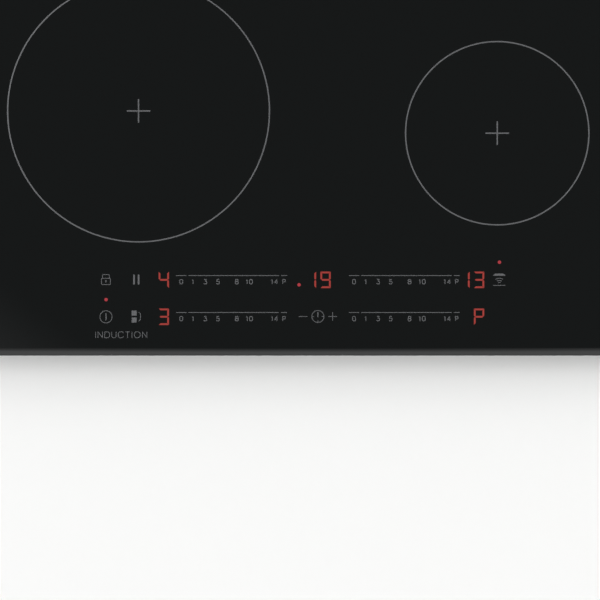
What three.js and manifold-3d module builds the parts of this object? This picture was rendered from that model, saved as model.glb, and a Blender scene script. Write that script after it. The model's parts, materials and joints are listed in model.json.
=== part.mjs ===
// Built-in electric induction cooktop with four cooking zones, as an assembly of separate named pieces.
// Units are millimetres. +Z is up, -Y is the user's side, and the origin is the centre of the underside.
import * as THREE from "three";
import { mergeVertices } from "three/addons/utils/BufferGeometryUtils.js";
import Module from "manifold-3d";

const wasm = await Module();
wasm.setup();

// ---------------------------------------------------------------- driving dimensions
const GAP = 0.3; // what touching pieces keep between them
const JOIN = 1; // how far one shape runs into another that it is one piece with
const SHEET = 1; // steel sheet of the casing, rails and coil plates
const ROUND = 24; // sides of a circle

const GLASS = { width: 590, depth: 520, top: 50, thick: 4, corner: 6, arris: 0.6 };
const GLASS_UNDER = GLASS.top - GLASS.thick;
const FRONT_BEVEL = { width: 6, drop: 1.4 };
const SEAL = { inset: 2, width: 10, thick: 2, innerCorner: 3 };

const CASE = { width: 550, depth: 480, top: 45.4, corner: 4 };
const WALL_X = CASE.width / 2;
const WALL_Y = CASE.depth / 2;
// A panel is pressed up in the floor on each side.
const PANEL = { rise: 2, inner: 12, outer: 255, halfDepth: 214, corner: 12 };
const FLOOR = SHEET + PANEL.rise + GAP; // where the inner pieces stand
const SLOT = { width: 3.6, bottom: 8, top: 26 };
const FRONT_SLOTS = { reach: 210, count: 21 };
const SIDE_SLOTS = { reach: 60, count: 7 };
const GRILLE = { radius: 34, reach: 30, count: 9 };

const RAIL = { flange: 14, leg: 14, rearFlange: 8, rearLeg: 12, clearOfCorner: 30 };
const PLATE = { top: 33.7, thick: 1.2, innerX: 6, outerX: 268, frontY: -178, rearY: 236, corner: 8 };
const PLATE_HOLE = 10;
const PLATE_LEGS = { width: 18, innerInset: 3, outerInset: 5, frontY: [-158, 70] };

// The four zones: place, coil radius and the number of ferrite bars.
const ZONES = [
  { name: "front_left", x: -137, y: -73, radius: 96, bars: 8 },
  { name: "rear_left", x: -137, y: 134, radius: 96, bars: 8 },
  { name: "front_right", x: 137, y: -90, radius: 66, bars: 6 },
  { name: "rear_right", x: 137, y: 140, radius: 82, bars: 8 },
];
// A coil's layers, from the bottom up, between the coil plate and the glass.
const STACK = {
  former: [37, 38.4],
  ferrite: [38.7, 41.2],
  winding: [41.5, 44.3],
  mica: [44.6, 45.1],
  sensor: [38.7, 45.7],
};
const WINDING = { inner: 22, outerInset: 4 };
const MICA_HOLE = 12;
const FORMER = { bore: 6, hub: 30, rim: 7, spoke: 8 };
const FERRITE = { width: 14, innerEnd: 17, outerInset: 5, ring: [16, 20], ringThick: 1 };
const TRAVEL = 0.8; // how far a coil can be pressed down
const SPRING = { radius: 40, width: 6, thick: 0.5, waves: 6, clear: 0.1 };
// The sensor cap's steps, each as its radius and its height above the foot.
const SENSOR = { foot: [9, 2.5], shoulder: [7, 3.2], neck: [5, 4.5], tip: 4.4, tipHigh: 0.5 };

const BOARD = { x: 137, y: -44, width: 230, depth: 212, corner: 3, bottom: 9.5, thick: 1.6 };
const BOARD_TOP = BOARD.bottom + BOARD.thick;
const SOLDER = 0.4; // how far a component's foot sinks into its board
const TRAY = { border: 4, wall: 2, corner: 5, innerCorner: 3, post: 4, postInset: 12 };
const CAPACITORS = { x: -85, y: -80, pitch: 38, count: 4, width: 28, depth: 20, height: 17 };
const INDUCTOR = { x: 93, y: -76, radius: 13, height: 15 };
const SINK = { x: 8, frontY: -76, rearY: 89, width: 62, height: 20, fins: 9, fin: 1.6, base: 5 };

const FILTER = { left: -46, right: 100, front: 204, rear: 234, bottom: 8, thick: 1.6, leg: 3, legInset: 6 };
const FILTER_TOP = FILTER.bottom + FILTER.thick + GAP;
const CHOKE = { x: -16, bore: 5, radius: 13, height: 16 };
const FILTER_CAP = { left: 24, right: 66, inset: 6, height: 18 };

const FAN = { x: { left: -128, right: 162 }, y: 135, top: 31, inlet: 36, throat: -65 };
const FAN_POST = { radius: 3, foot: 6 }; // what the rotor turns on, hanging from the housing's top
const SCROLL = { start: -60, sweep: 240, growth: 11, room: 4, wall: 1.6, steps: 21 }; // angles in degrees
const ROTOR = { radius: 41, clear: 2.6, headroom: 3, plate: 2, shroud: 7, shroudThick: 1.6, bore: 3.5 };
const HUB = { height: 17, bottomRadius: 12, radius: 17, cone: 4 };
const VANE = { count: 11, root: 27, rootHalf: 1.2, middle: 34, tip: 40.4, tipSweep: 6, tipThick: 1 };

const PANEL_ROW = { lower: -230, upper: -201.8 }; // the two rows of touch controls
const CONTROL = { left: -172, right: 152, frontY: -238.6, rearY: -184, boardBottom: 34.5, boardThick: 1.6 };
const HOLDER = { side: 1.5, bottom: 28, top: 39.5, wall: 1.2, corner: 3, innerCorner: 1.5, step: 2.5 };
const RESTS = { count: 5, inset: 12, width: 8 };
const DISPLAY = { below: 7, above: 8, window: 6.8, windowDeep: 1.5, border: 1 };
const RIBBON = { x: -62, width: 28, thick: 0.6, high: 25.5, low: 12.3 };

const BAY = { left: 116, right: 232, front: 198, bottom: 3.6, top: 32, wall: 2 }; // the mains connection box
const WINDOW = { left: 150, right: 230, bottom: 6, top: 31 };
const HINGE = { y: 242, z: 4.4, barrel: 1.8, pin: 0.9, ear: 4, earThick: 2.6 };
const FLAP = { thick: 2, lap: 2, tongueX: [185, 195], tongueReach: 4, tongueThick: 1.6 };
const TERMINALS = { left: 162, right: 222, deep: 24, height: 12, wallHeight: 18, wall: 1.2, count: 7 };
const CABLE = { x: 131, z: 17, bore: 5.6, hole: 8, flange: 10.5, lip: 2 };

const CLIP = { y: 128, width: 22, thick: 0.8, pivotX: 276.6, pivotZ: 40.8, barrel: 1.3 };
const HOOK = { thick: 0.8, overhang: 2, drop: 1.2, root: 0.5 };

// ---------------------------------------------------------------- materials
function finish(color, roughness, metalness = 0) {
  return new THREE.MeshStandardMaterial({ color, roughness, metalness });
}
const MATERIALS = {
  glass: finish(0x171919, 0.08),
  seal: finish(0x1b1b1c, 0.9),
  steel: finish(0xa9adb0, 0.45, 0.9),
  spring: finish(0xc4c7c9, 0.3, 0.95),
  aluminium: finish(0xc9ccce, 0.4, 0.9),
  copper: finish(0xb0693a, 0.45, 0.85),
  ferrite: finish(0x3a3a3c, 0.7),
  mica: finish(0xb9b4a4, 0.55),
  silicone: finish(0xd9d7d0, 0.6),
  former: finish(0x8e3b24, 0.6),
  board: finish(0x2f5d3a, 0.5),
  whitePlastic: finish(0xd8d9d6, 0.55),
  blackPlastic: finish(0x202123, 0.5),
  display: finish(0x2a0d0b, 0.4),
};

// ---------------------------------------------------------------- shapes
function solid(geometry) {
  const bare = geometry.clone();
  bare.deleteAttribute("normal");
  bare.deleteAttribute("uv");
  const merged = mergeVertices(bare, 1e-4);
  const vertProperties = merged.attributes.position.array;
  const triVerts = new Uint32Array(merged.index.array);
  return new wasm.Manifold(new wasm.Mesh({ numProp: 3, vertProperties, triVerts }));
}

function geometryOf(body) {
  const mesh = body.getMesh();
  const geometry = new THREE.BufferGeometry();
  geometry.setAttribute("position", new THREE.BufferAttribute(mesh.vertProperties, 3));
  geometry.setIndex(new THREE.BufferAttribute(mesh.triVerts, 1));
  geometry.computeVertexNormals();
  return geometry;
}

const unite = (...bodies) => bodies.reduce((whole, body) => whole.add(body));
const range = (count) => Array.from({ length: count }, (_, i) => i);
const evenly = (from, to, count) => range(count).map((i) => from + ((to - from) * i) / (count - 1));
const radians = (degrees) => (degrees * Math.PI) / 180;

// The same shape at even steps round the Z axis.
const around = (count, body) => range(count).map((i) => body.rotate([0, 0, (360 / count) * i]));

function block([x0, y0, z0], [x1, y1, z1]) {
  const geometry = new THREE.BoxGeometry(x1 - x0, y1 - y0, z1 - z0);
  return solid(geometry.translate((x0 + x1) / 2, (y0 + y1) / 2, (z0 + z1) / 2));
}

// A block on one side of the cooktop: its X limits are distances from the middle, and side is -1 or 1.
function sideBlock(side, [x0, x1], [y0, y1], [z0, z1]) {
  const [a, b] = side > 0 ? [x0, x1] : [-x1, -x0];
  return block([a, y0, z0], [b, y1, z1]);
}

function roundedRect(width, depth, radius, x = 0, y = 0) {
  const [w, d] = [width / 2, depth / 2];
  const shape = new THREE.Shape();
  shape.moveTo(x - w + radius, y - d);
  shape.lineTo(x + w - radius, y - d);
  shape.absarc(x + w - radius, y - d + radius, radius, -Math.PI / 2, 0);
  shape.lineTo(x + w, y + d - radius);
  shape.absarc(x + w - radius, y + d - radius, radius, 0, Math.PI / 2);
  shape.lineTo(x - w + radius, y + d);
  shape.absarc(x - w + radius, y + d - radius, radius, Math.PI / 2, Math.PI);
  shape.lineTo(x - w, y - d + radius);
  shape.absarc(x - w + radius, y - d + radius, radius, Math.PI, Math.PI * 1.5);
  return shape;
}

function prism(shape, bottom, top, curveSegments = 3) {
  const settings = { depth: top - bottom, bevelEnabled: false, curveSegments };
  return solid(new THREE.ExtrudeGeometry(shape, settings).translate(0, 0, bottom));
}

// A body of revolution about the Z axis, from a closed run of [radius, height] pairs.
function turned(profile, sides = ROUND) {
  const points = profile.map(([r, z]) => new THREE.Vector2(r, z));
  return solid(new THREE.LatheGeometry(points, sides).rotateX(Math.PI / 2));
}

function washer(inner, outer, bottom, top, sides = ROUND) {
  return turned([[inner, bottom], [outer, bottom], [outer, top], [inner, top], [inner, bottom]], sides);
}

function disc(radius, bottom, top, sides = ROUND) {
  return turned([[0, bottom], [radius, bottom], [radius, top], [0, top]], sides);
}

// A round bar along X.
function bar(radius, x0, x1, y, z, sides = 12) {
  const geometry = new THREE.CylinderGeometry(radius, radius, x1 - x0, sides).rotateZ(Math.PI / 2);
  return solid(geometry.translate((x0 + x1) / 2, y, z));
}

// A bent strip of sheet: a run of [x, z] points given thickness, and as wide along Y as width.
function strip(run, thick, width) {
  const points = run.map(([x, z]) => new THREE.Vector2(x, z));
  const shifted = (sign) =>
    points.map((p, i) => {
      const before = points[Math.max(i - 1, 0)];
      const after = points[Math.min(i + 1, points.length - 1)];
      const along = after.clone().sub(before).normalize();
      return new THREE.Vector2(-along.y, along.x).multiplyScalar((sign * thick) / 2).add(p);
    });
  const shape = new THREE.Shape([...shifted(-1), ...shifted(1).reverse()]);
  const geometry = new THREE.ExtrudeGeometry(shape, { depth: width, bevelEnabled: false });
  return solid(geometry.rotateX(Math.PI / 2).translate(0, width / 2, 0));
}

// ---------------------------------------------------------------- glass and seal
function glassTop() {
  const { width, depth, corner, arris, thick, top } = GLASS;
  const outline = roundedRect(width - 2 * arris, depth - 2 * arris, corner - arris);
  const slab = new THREE.ExtrudeGeometry(outline, {
    depth: thick - 2 * arris,
    bevelThickness: arris,
    bevelSize: arris,
    bevelSegments: 1,
    curveSegments: 3,
  }).translate(0, 0, GLASS_UNDER + arris);
  return solid(slab).subtract(frontBevelCut(-depth / 2, top, width));
}

// What is ground off along the front edge: a wedge drawn in Y and Z, and turned so that it runs along X.
function frontBevelCut(front, top, width) {
  const wedge = new THREE.Shape();
  wedge.moveTo(front - JOIN, top - FRONT_BEVEL.drop * (1 + JOIN / FRONT_BEVEL.width));
  wedge.lineTo(front + FRONT_BEVEL.width, top);
  wedge.lineTo(front + FRONT_BEVEL.width, top + JOIN);
  wedge.lineTo(front - JOIN, top + JOIN);
  const cut = new THREE.ExtrudeGeometry(wedge, { depth: width + 2 * JOIN, bevelEnabled: false });
  return solid(cut.rotateX(Math.PI / 2).rotateZ(Math.PI / 2).translate(-width / 2 - JOIN, 0, 0));
}

function edgeSeal() {
  const [w, d] = [GLASS.width - 2 * SEAL.inset, GLASS.depth - 2 * SEAL.inset];
  const shape = roundedRect(w, d, GLASS.corner - SEAL.inset);
  shape.holes.push(roundedRect(w - 2 * SEAL.width, d - 2 * SEAL.width, SEAL.innerCorner));
  return prism(shape, GLASS_UNDER - SEAL.thick, GLASS_UNDER - GAP);
}

// ---------------------------------------------------------------- casing
// Upright slots through the front wall, one behind another along X.
function frontSlots() {
  const half = SLOT.width / 2;
  return evenly(-FRONT_SLOTS.reach, FRONT_SLOTS.reach, FRONT_SLOTS.count).map((x) =>
    block([x - half, -WALL_Y - 2 * SHEET, SLOT.bottom], [x + half, -WALL_Y + 2 * SHEET, SLOT.top]));
}

function sideSlots(side) {
  const half = SLOT.width / 2;
  const through = [WALL_X - 2 * SHEET, WALL_X + 2 * SHEET];
  return evenly(-SIDE_SLOTS.reach, SIDE_SLOTS.reach, SIDE_SLOTS.count).map((y) =>
    sideBlock(side, through, [y - half, y + half], [SLOT.bottom, SLOT.top]));
}

// A round grille of parallel slots through the floor below a fan.
function inletGrille(x, y) {
  return evenly(-GRILLE.reach, GRILLE.reach, GRILLE.count).map((dy) => {
    const half = Math.sqrt(GRILLE.radius ** 2 - dy ** 2);
    const [front, rear] = [y + dy - SLOT.width / 2, y + dy + SLOT.width / 2];
    return block([x - half, front, -JOIN], [x + half, rear, FLOOR + JOIN]);
  });
}

// The lip over each clip, folded out of the side wall.
function clipHook(side, y) {
  const lip = CLIP.pivotZ + CLIP.barrel + GAP;
  const edge = CLIP.pivotX + CLIP.barrel + GAP;
  const reach = CLIP.width / 2 + HOOK.overhang;
  const span = [y - reach, y + reach];
  return unite(
    sideBlock(side, [WALL_X - HOOK.root, edge + HOOK.thick], span, [lip, lip + HOOK.thick]),
    sideBlock(side, [edge, edge + HOOK.thick], span, [CLIP.pivotZ - HOOK.drop, lip + HOOK.thick]),
  );
}

// A panel pressed up in the floor: the metal that it adds, and the hollow below it.
function pressedPanel(side) {
  const x = (side * (PANEL.inner + PANEL.outer)) / 2;
  const [w, d] = [PANEL.outer - PANEL.inner, 2 * PANEL.halfDepth];
  const raised = roundedRect(w + 2 * SHEET, d + 2 * SHEET, PANEL.corner + SHEET, x);
  return {
    added: prism(raised, 0, SHEET + PANEL.rise),
    hollow: prism(roundedRect(w, d, PANEL.corner, x), -JOIN, PANEL.rise),
  };
}

function casing() {
  const { width, depth, top, corner } = CASE;
  const inner = roundedRect(width - 2 * SHEET, depth - 2 * SHEET, corner - SHEET);
  let body = prism(roundedRect(width, depth, corner), 0, top).subtract(prism(inner, SHEET, top + JOIN));
  for (const side of [-1, 1]) {
    const panel = pressedPanel(side);
    body = body.add(panel.added).subtract(panel.hollow);
    for (const y of [-CLIP.y, CLIP.y]) body = body.add(clipHook(side, y));
  }
  const [outside, inside] = [WALL_Y + 2 * SHEET, WALL_Y - 2 * SHEET];
  const cuts = [
    ...inletGrille(FAN.x.left, FAN.y),
    ...inletGrille(FAN.x.right, FAN.y),
    ...frontSlots(),
    ...sideSlots(-1),
    ...sideSlots(1),
    block([WINDOW.left, inside, WINDOW.bottom], [WINDOW.right, outside, WINDOW.top]),
    disc(CABLE.hole, -2 * SHEET, 2 * SHEET, 20).rotate([-90, 0, 0])
      .translate([CABLE.x, WALL_Y, CABLE.z]),
  ];
  return cuts.reduce((whole, cut) => whole.subtract(cut), body);
}

// Angle rails that hold the bonded glass: an upright leg inside the wall and a flange under the glass.
function sideRail(side) {
  const wall = WALL_X - SHEET - GAP;
  const span = [RAIL.clearOfCorner - WALL_Y, WALL_Y - RAIL.clearOfCorner];
  const top = GLASS_UNDER - GAP;
  return unite(
    sideBlock(side, [wall - SHEET, wall], span, [top - RAIL.leg, top]),
    sideBlock(side, [wall - RAIL.flange, wall], span, [top - SHEET, top]),
  );
}

function rearRail() {
  const wall = WALL_Y - SHEET - GAP;
  const half = WALL_X - RAIL.clearOfCorner;
  const top = GLASS_UNDER - GAP;
  return unite(
    block([-half, wall - SHEET, top - RAIL.rearLeg], [half, wall, top]),
    block([-half, wall - RAIL.rearFlange, top - SHEET], [half, wall, top]),
  );
}

// ---------------------------------------------------------------- coils
// A sheet-metal shelf for the two coils of one side, with folded legs down to the casing's floor.
function coilPlate(side) {
  const { top, thick, innerX, outerX, frontY, rearY, corner } = PLATE;
  const middle = [(side * (innerX + outerX)) / 2, (frontY + rearY) / 2];
  const shape = roundedRect(outerX - innerX, rearY - frontY, corner, ...middle);
  for (const zone of ZONES.filter((z) => z.x * side > 0)) {
    const opening = new THREE.Path();
    opening.absarc(zone.x, zone.y, PLATE_HOLE, 0, 2 * Math.PI);
    shape.holes.push(opening);
  }
  const legs = PLATE_LEGS.frontY.flatMap((y) =>
    [innerX + PLATE_LEGS.innerInset, outerX - PLATE_LEGS.outerInset].map((x) =>
      sideBlock(side, [x, x + SHEET], [y, y + PLATE_LEGS.width], [SHEET + GAP, top - thick / 2])));
  return unite(prism(shape, top - thick, top, 4), ...legs);
}

// A plastic wheel: a hub and a rim joined by spokes, which lie between the ferrite bars.
function coilFormer({ radius, bars }) {
  const [bottom, top] = STACK.former;
  const { bore, hub, rim, spoke } = FORMER;
  const arm = block([hub - 4, -spoke / 2, bottom], [radius - rim / 2, spoke / 2, top]);
  const rings = unite(washer(bore, hub, bottom, top), washer(radius - rim, radius, bottom, top));
  return unite(rings, ...around(bars, arm));
}

// The ferrite bars stand radially under the winding and are bonded to one thin ring.
function ferriteStar({ radius, bars }) {
  const [bottom, top] = STACK.ferrite;
  const { width, innerEnd, outerInset, ring, ringThick } = FERRITE;
  const ferrite = block([innerEnd, -width / 2, bottom], [radius - outerInset, width / 2, top]);
  return unite(washer(...ring, bottom, bottom + ringThick, 2 * bars), ...around(bars, ferrite));
}

function coilWinding({ radius }) {
  return washer(WINDING.inner, radius - WINDING.outerInset, ...STACK.winding, 32);
}

function micaDisc({ radius }) {
  return washer(MICA_HOLE, radius, ...STACK.mica);
}

function sensorCap() {
  const [bottom, top] = STACK.sensor;
  const steps = [SENSOR.foot, SENSOR.shoulder, SENSOR.neck].map(([r, rise]) => [r, bottom + rise]);
  const tip = [[SENSOR.neck[0], top - SENSOR.tipHigh], [SENSOR.tip, top], [0, top]];
  return turned([[0, bottom], [SENSOR.foot[0], bottom], ...steps, ...tip], 16);
}

// A wave washer below the coil's former: a flat ring that rises and falls round its turn. It is drawn as
// high as the former leaves it when the coil is pressed down all the way.
function coilSpring() {
  const { radius, width, thick, waves, clear } = SPRING;
  const [low, high] = [PLATE.top + GAP, STACK.former[0] - TRAVEL - clear - thick];
  const profile = [[radius, 0], [radius + width, 0], [radius + width, thick], [radius, thick], [radius, 0]];
  const ring = new THREE.LatheGeometry(profile.map(([r, z]) => new THREE.Vector2(r, z)), 4 * waves);
  ring.rotateX(Math.PI / 2);
  const vertex = ring.attributes.position;
  for (const i of range(vertex.count)) {
    const turn = Math.atan2(vertex.getY(i), vertex.getX(i));
    vertex.setZ(i, vertex.getZ(i) + (low + high) / 2 + ((high - low) / 2) * Math.cos(waves * turn));
  }
  return solid(ring);
}

// ---------------------------------------------------------------- power electronics
// The tray and the board of one side share their middle, which is their origin in X and Y.
function boardTray() {
  const [w, d] = [BOARD.width + 2 * TRAY.border, BOARD.depth + 2 * TRAY.border];
  const rim = BOARD_TOP + GAP;
  const [cutW, cutD] = [w - 2 * TRAY.wall, d - 2 * TRAY.wall];
  const hollow = prism(roundedRect(cutW, cutD, TRAY.innerCorner), FLOOR + TRAY.wall, rim + JOIN);
  const tray = prism(roundedRect(w, d, TRAY.corner), FLOOR, rim).subtract(hollow);
  const post = disc(TRAY.post, FLOOR + JOIN, BOARD.bottom - GAP, 12);
  const [px, py] = [w / 2 - TRAY.postInset, d / 2 - TRAY.postInset];
  const corners = [[-px, -py], [px, -py], [-px, py], [px, py]];
  return unite(tray, ...corners.map(([x, y]) => post.translate([x, y, 0])));
}

// The resonance capacitors stand in a row beside the heat sink, and the inductor in the outer front corner.
function powerBoard(side) {
  const { x, y, pitch, count, width, depth, height } = CAPACITORS;
  const foot = BOARD_TOP - SOLDER;
  const capacitors = range(count).map((i) => {
    const [cx, cy] = [side * x, y + i * pitch];
    const [left, right, front, rear] = [cx - width / 2, cx + width / 2, cy - depth / 2, cy + depth / 2];
    return block([left, front, foot], [right, rear, BOARD_TOP + height]);
  });
  const inductor = disc(INDUCTOR.radius, foot, BOARD_TOP + INDUCTOR.height, 16);
  return unite(
    prism(roundedRect(BOARD.width, BOARD.depth, BOARD.corner), BOARD.bottom, BOARD_TOP),
    ...capacitors,
    inductor.translate([side * INDUCTOR.x, INDUCTOR.y, 0]),
  );
}

// An extruded comb: the fins run along Y, in line with the fan's outlet.
function heatSink() {
  const bottom = BOARD_TOP + GAP;
  const half = SINK.width / 2;
  const base = block([-half, SINK.frontY, bottom], [half, SINK.rearY, bottom + SINK.base]);
  const fins = evenly(-half + SINK.fin / 2, half - SINK.fin / 2, SINK.fins).map((x) => {
    const [left, right] = [x - SINK.fin / 2, x + SINK.fin / 2];
    return block([left, SINK.frontY, bottom + SINK.base - JOIN], [right, SINK.rearY, bottom + SINK.height]);
  });
  return unite(base, ...fins);
}

function filterBoard() {
  const { left, right, front, rear, bottom, thick, leg, legInset } = FILTER;
  const post = disc(leg, SHEET + GAP, bottom + JOIN, 10);
  const legs = [left + legInset, right - legInset].map((x) => post.translate([x, (front + rear) / 2, 0]));
  return unite(block([left, front, bottom], [right, rear, bottom + thick]), ...legs);
}

function mainsChoke() {
  return washer(CHOKE.bore, CHOKE.radius, 0, CHOKE.height, 20);
}

function filterCapacitor() {
  const { left, right, inset, height } = FILTER_CAP;
  return block([left, FILTER.front + inset, FILTER_TOP], [right, FILTER.rear - inset, FILTER_TOP + height]);
}

// ---------------------------------------------------------------- fans
// The spiral outline of a blower: its radius grows round the turn and ends in a straight throat.
function scroll(inset, outlet) {
  const start = ROTOR.radius + SCROLL.room - inset;
  const first = radians(SCROLL.start);
  const points = evenly(0, 1, SCROLL.steps).map((share) => {
    const angle = first + radians(SCROLL.sweep) * share;
    const r = start + SCROLL.growth * share;
    return new THREE.Vector2(r * Math.cos(angle), r * Math.sin(angle));
  });
  const throat = [-start - SCROLL.growth, start * Math.cos(first)];
  return new THREE.Shape([...points, ...throat.map((x) => new THREE.Vector2(x, outlet))]);
}

function fanHousing() {
  const { wall } = SCROLL;
  const shell = prism(scroll(0, FAN.throat), FLOOR, FAN.top);
  const hollow = prism(scroll(wall, FAN.throat - JOIN), FLOOR + wall, FAN.top - wall);
  const inlet = disc(FAN.inlet, FLOOR - JOIN, FLOOR + wall + JOIN, 32);
  const post = disc(FAN_POST.radius, FLOOR + FAN_POST.foot, FAN.top - JOIN, 12);
  return shell.subtract(hollow).subtract(inlet).add(post);
}

// A radial impeller, open below, with swept vanes between a back plate and a shroud ring.
function fanRotor() {
  const [bottom, top] = [FLOOR + ROTOR.clear, FAN.top - ROTOR.headroom];
  const foot = top - HUB.height;
  const rim = ROTOR.radius - 2;
  const hub = turned([
    [ROTOR.bore, foot], [HUB.bottomRadius, foot], [HUB.radius, foot + HUB.cone],
    [HUB.radius, top - ROTOR.plate], [rim, top - ROTOR.plate + 0.4], [rim, top],
    [ROTOR.bore, top], [ROTOR.bore, foot],
  ]);
  const shroud = washer(ROTOR.radius - ROTOR.shroud, ROTOR.radius, bottom, bottom + ROTOR.shroudThick);
  const blade = prism(vaneOutline(), bottom + ROTOR.shroudThick / 2, top - ROTOR.plate / 2, 2);
  return unite(hub, shroud, ...around(VANE.count, blade));
}

// One vane seen from above: two curves from the root out to the swept tip.
function vaneOutline() {
  const { root, rootHalf, middle, tip, tipSweep, tipThick } = VANE;
  const vane = new THREE.Shape();
  vane.moveTo(root, -rootHalf);
  vane.quadraticCurveTo(middle, rootHalf / 3, tip, tipSweep);
  vane.lineTo(tip - 0.8, tipSweep + tipThick);
  vane.quadraticCurveTo(middle - 0.4, rootHalf * 1.5, root, rootHalf / 6);
  return vane;
}

// ---------------------------------------------------------------- controls
function controlHolder() {
  const { left, right, frontY, rearY, boardBottom } = CONTROL;
  const { side, bottom, top, wall, corner, innerCorner, step } = HOLDER;
  const [w, d] = [right - left + 2 * side, rearY - frontY];
  const middle = [(left + right) / 2, (frontY + rearY) / 2];
  const shelf = boardBottom - GAP;
  const inside = roundedRect(w - 2 * wall, d - 2 * wall, innerCorner, ...middle);
  const tray = prism(roundedRect(w, d, corner, ...middle), bottom, top);
  const hollow = prism(inside, shelf - step, top + JOIN);
  const rests = evenly(left + RESTS.inset, right - RESTS.inset, RESTS.count).map((x) => {
    const half = RESTS.width / 2;
    return block([x - half, frontY + JOIN, bottom + JOIN], [x + half, rearY - JOIN, shelf]);
  });
  return unite(tray.subtract(hollow), ...rests);
}

function controlBoard() {
  const { left, right, frontY, rearY, boardBottom, boardThick } = CONTROL;
  return block([left + 1, frontY + 2, boardBottom], [right - 1, rearY - 2, boardBottom + boardThick]);
}

// A light box for numerals: it stands on the board, with its windows against the glass.
function displayBox(left, right, rows) {
  const bottom = CONTROL.boardBottom + CONTROL.boardThick + GAP;
  const top = GLASS_UNDER - GAP;
  const { below, above, window, windowDeep, border } = DISPLAY;
  const box = block([left, Math.min(...rows) - below, bottom], [right, Math.max(...rows) + above, top]);
  const windows = rows.map((y) =>
    block([left + border, y - window, top - windowDeep], [right - border, y + window, top + JOIN]));
  return windows.reduce((body, opening) => body.subtract(opening), box);
}

// A flat cable from the control board down to the left power board. It leaves along +X, and its mesh is
// turned to run to the rear.
function ribbonCable() {
  const { high, low, width, thick } = RIBBON;
  const run = [[0, high], [14, high - 1], [19, high - 5], [22, low + 3], [26, low], [36, low]];
  return strip(run, thick, width);
}

// ---------------------------------------------------------------- mains connection
// Two ears reach out through the window and carry the flap's hinge.
function hingeEar(x) {
  const rear = WALL_Y - SHEET - GAP;
  const [right, foot, top] = [x + HINGE.ear, HINGE.z - 2, WINDOW.bottom + HINGE.earThick];
  const ear = unite(
    block([x, rear - 6, BAY.bottom + JOIN], [right, rear, WINDOW.bottom + 3]),
    block([x, rear - 1, WINDOW.bottom + GAP], [right, HINGE.y + 1.6, top]),
    block([x, WALL_Y + GAP, foot], [right, HINGE.y + HINGE.barrel, top]),
  );
  return ear.subtract(bar(HINGE.pin + 0.35, x - JOIN, right + JOIN, HINGE.y, HINGE.z));
}

function terminalBox() {
  const { left, right, front, bottom, top, wall } = BAY;
  const rear = WALL_Y - SHEET - GAP;
  const box = block([left, front, bottom], [right, rear, top]);
  const inside = block([left + wall, front + wall, bottom + wall], [right - wall, rear + JOIN, top - wall]);
  const ears = [WINDOW.left + GAP, WINDOW.right - GAP - HINGE.ear].map(hingeEar);
  return unite(box.subtract(inside), ...ears);
}

function terminalFlap() {
  const [x0, x1] = [WINDOW.left + HINGE.ear + 2 * GAP, WINDOW.right - HINGE.ear - 2 * GAP];
  const [y0, y1] = [WALL_Y + GAP, WALL_Y + GAP + FLAP.thick];
  const { lap, tongueX, tongueReach, tongueThick } = FLAP;
  const under = WINDOW.top - 3;
  return unite(
    block([WINDOW.left - lap, y0, HINGE.z + 6], [WINDOW.right + lap, y1, WINDOW.top + lap]),
    block([x0, y0, HINGE.z], [x1, y1, HINGE.z + 7]),
    bar(HINGE.barrel, x0, x1, HINGE.y, HINGE.z),
    bar(HINGE.pin, WINDOW.left + 2 * GAP, WINDOW.right - 2 * GAP, HINGE.y, HINGE.z),
    // The snap tongue holds inside the window's upper edge.
    block([tongueX[0], y0 - tongueReach, under], [tongueX[1], y0 + 0.5, under + tongueThick]),
  );
}

function terminalBlock() {
  const { left, right, deep, height, wallHeight, wall, count } = TERMINALS;
  const [y0, y1] = [BAY.front + BAY.wall + GAP, BAY.front + deep];
  const bottom = BAY.bottom + BAY.wall + GAP;
  const walls = evenly(left + wall / 2, right - wall / 2, count).map((x) =>
    block([x - wall / 2, y0, bottom + height - JOIN], [x + wall / 2, y1, bottom + wallHeight]));
  return unite(block([left, y0, bottom], [right, y1, bottom + height]), ...walls);
}

// A rubber ring with a groove for the wall: its axis is Z and the wall's outer face is at height 0.
function cableGrommet() {
  const [outer, inner] = [GAP, -SHEET - GAP];
  const { bore, hole, flange, lip } = CABLE;
  return turned([
    [bore, inner - lip], [flange - 1, inner - lip], [flange - 1, inner], [hole - GAP, inner],
    [hole - GAP, outer], [flange, outer], [flange, outer + 1.2], [flange - 1, outer + lip],
    [bore, outer + lip], [bore, inner - lip],
  ], 20);
}

// ---------------------------------------------------------------- worktop clips
// A bowed leaf below a roll: the roll's axis is the origin, and the leaf bows out towards +X.
function worktopClip() {
  const { width, thick, barrel } = CLIP;
  const bow = [[5.6, -17.4], [6.3, -19.8], [6.4, -21.8], [6.2, -23.8]];
  const run = [[0.2, 0], [1, -7], ...bow, [5.4, -26.8], [4.4, -30.8]];
  const roll = bar(barrel, -width / 2, width / 2, 0, 0).rotate([0, 0, 90]);
  return strip(run, thick, width).add(roll);
}

// ---------------------------------------------------------------- assembly
const cooktop = new THREE.Group();
const M = MATERIALS;

function groupAt(x, y, z = 0) {
  const group = new THREE.Group();
  group.position.set(x, y, z);
  cooktop.add(group);
  return group;
}

function add(parent, name, body, material) {
  const mesh = new THREE.Mesh(geometryOf(body), material);
  mesh.name = name;
  parent.add(mesh);
  return mesh;
}

add(cooktop, "glass_top", glassTop(), M.glass);
add(cooktop, "edge_seal", edgeSeal(), M.seal);
add(cooktop, "casing", casing(), M.steel);
add(cooktop, "rail_rear", rearRail(), M.steel);

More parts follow.
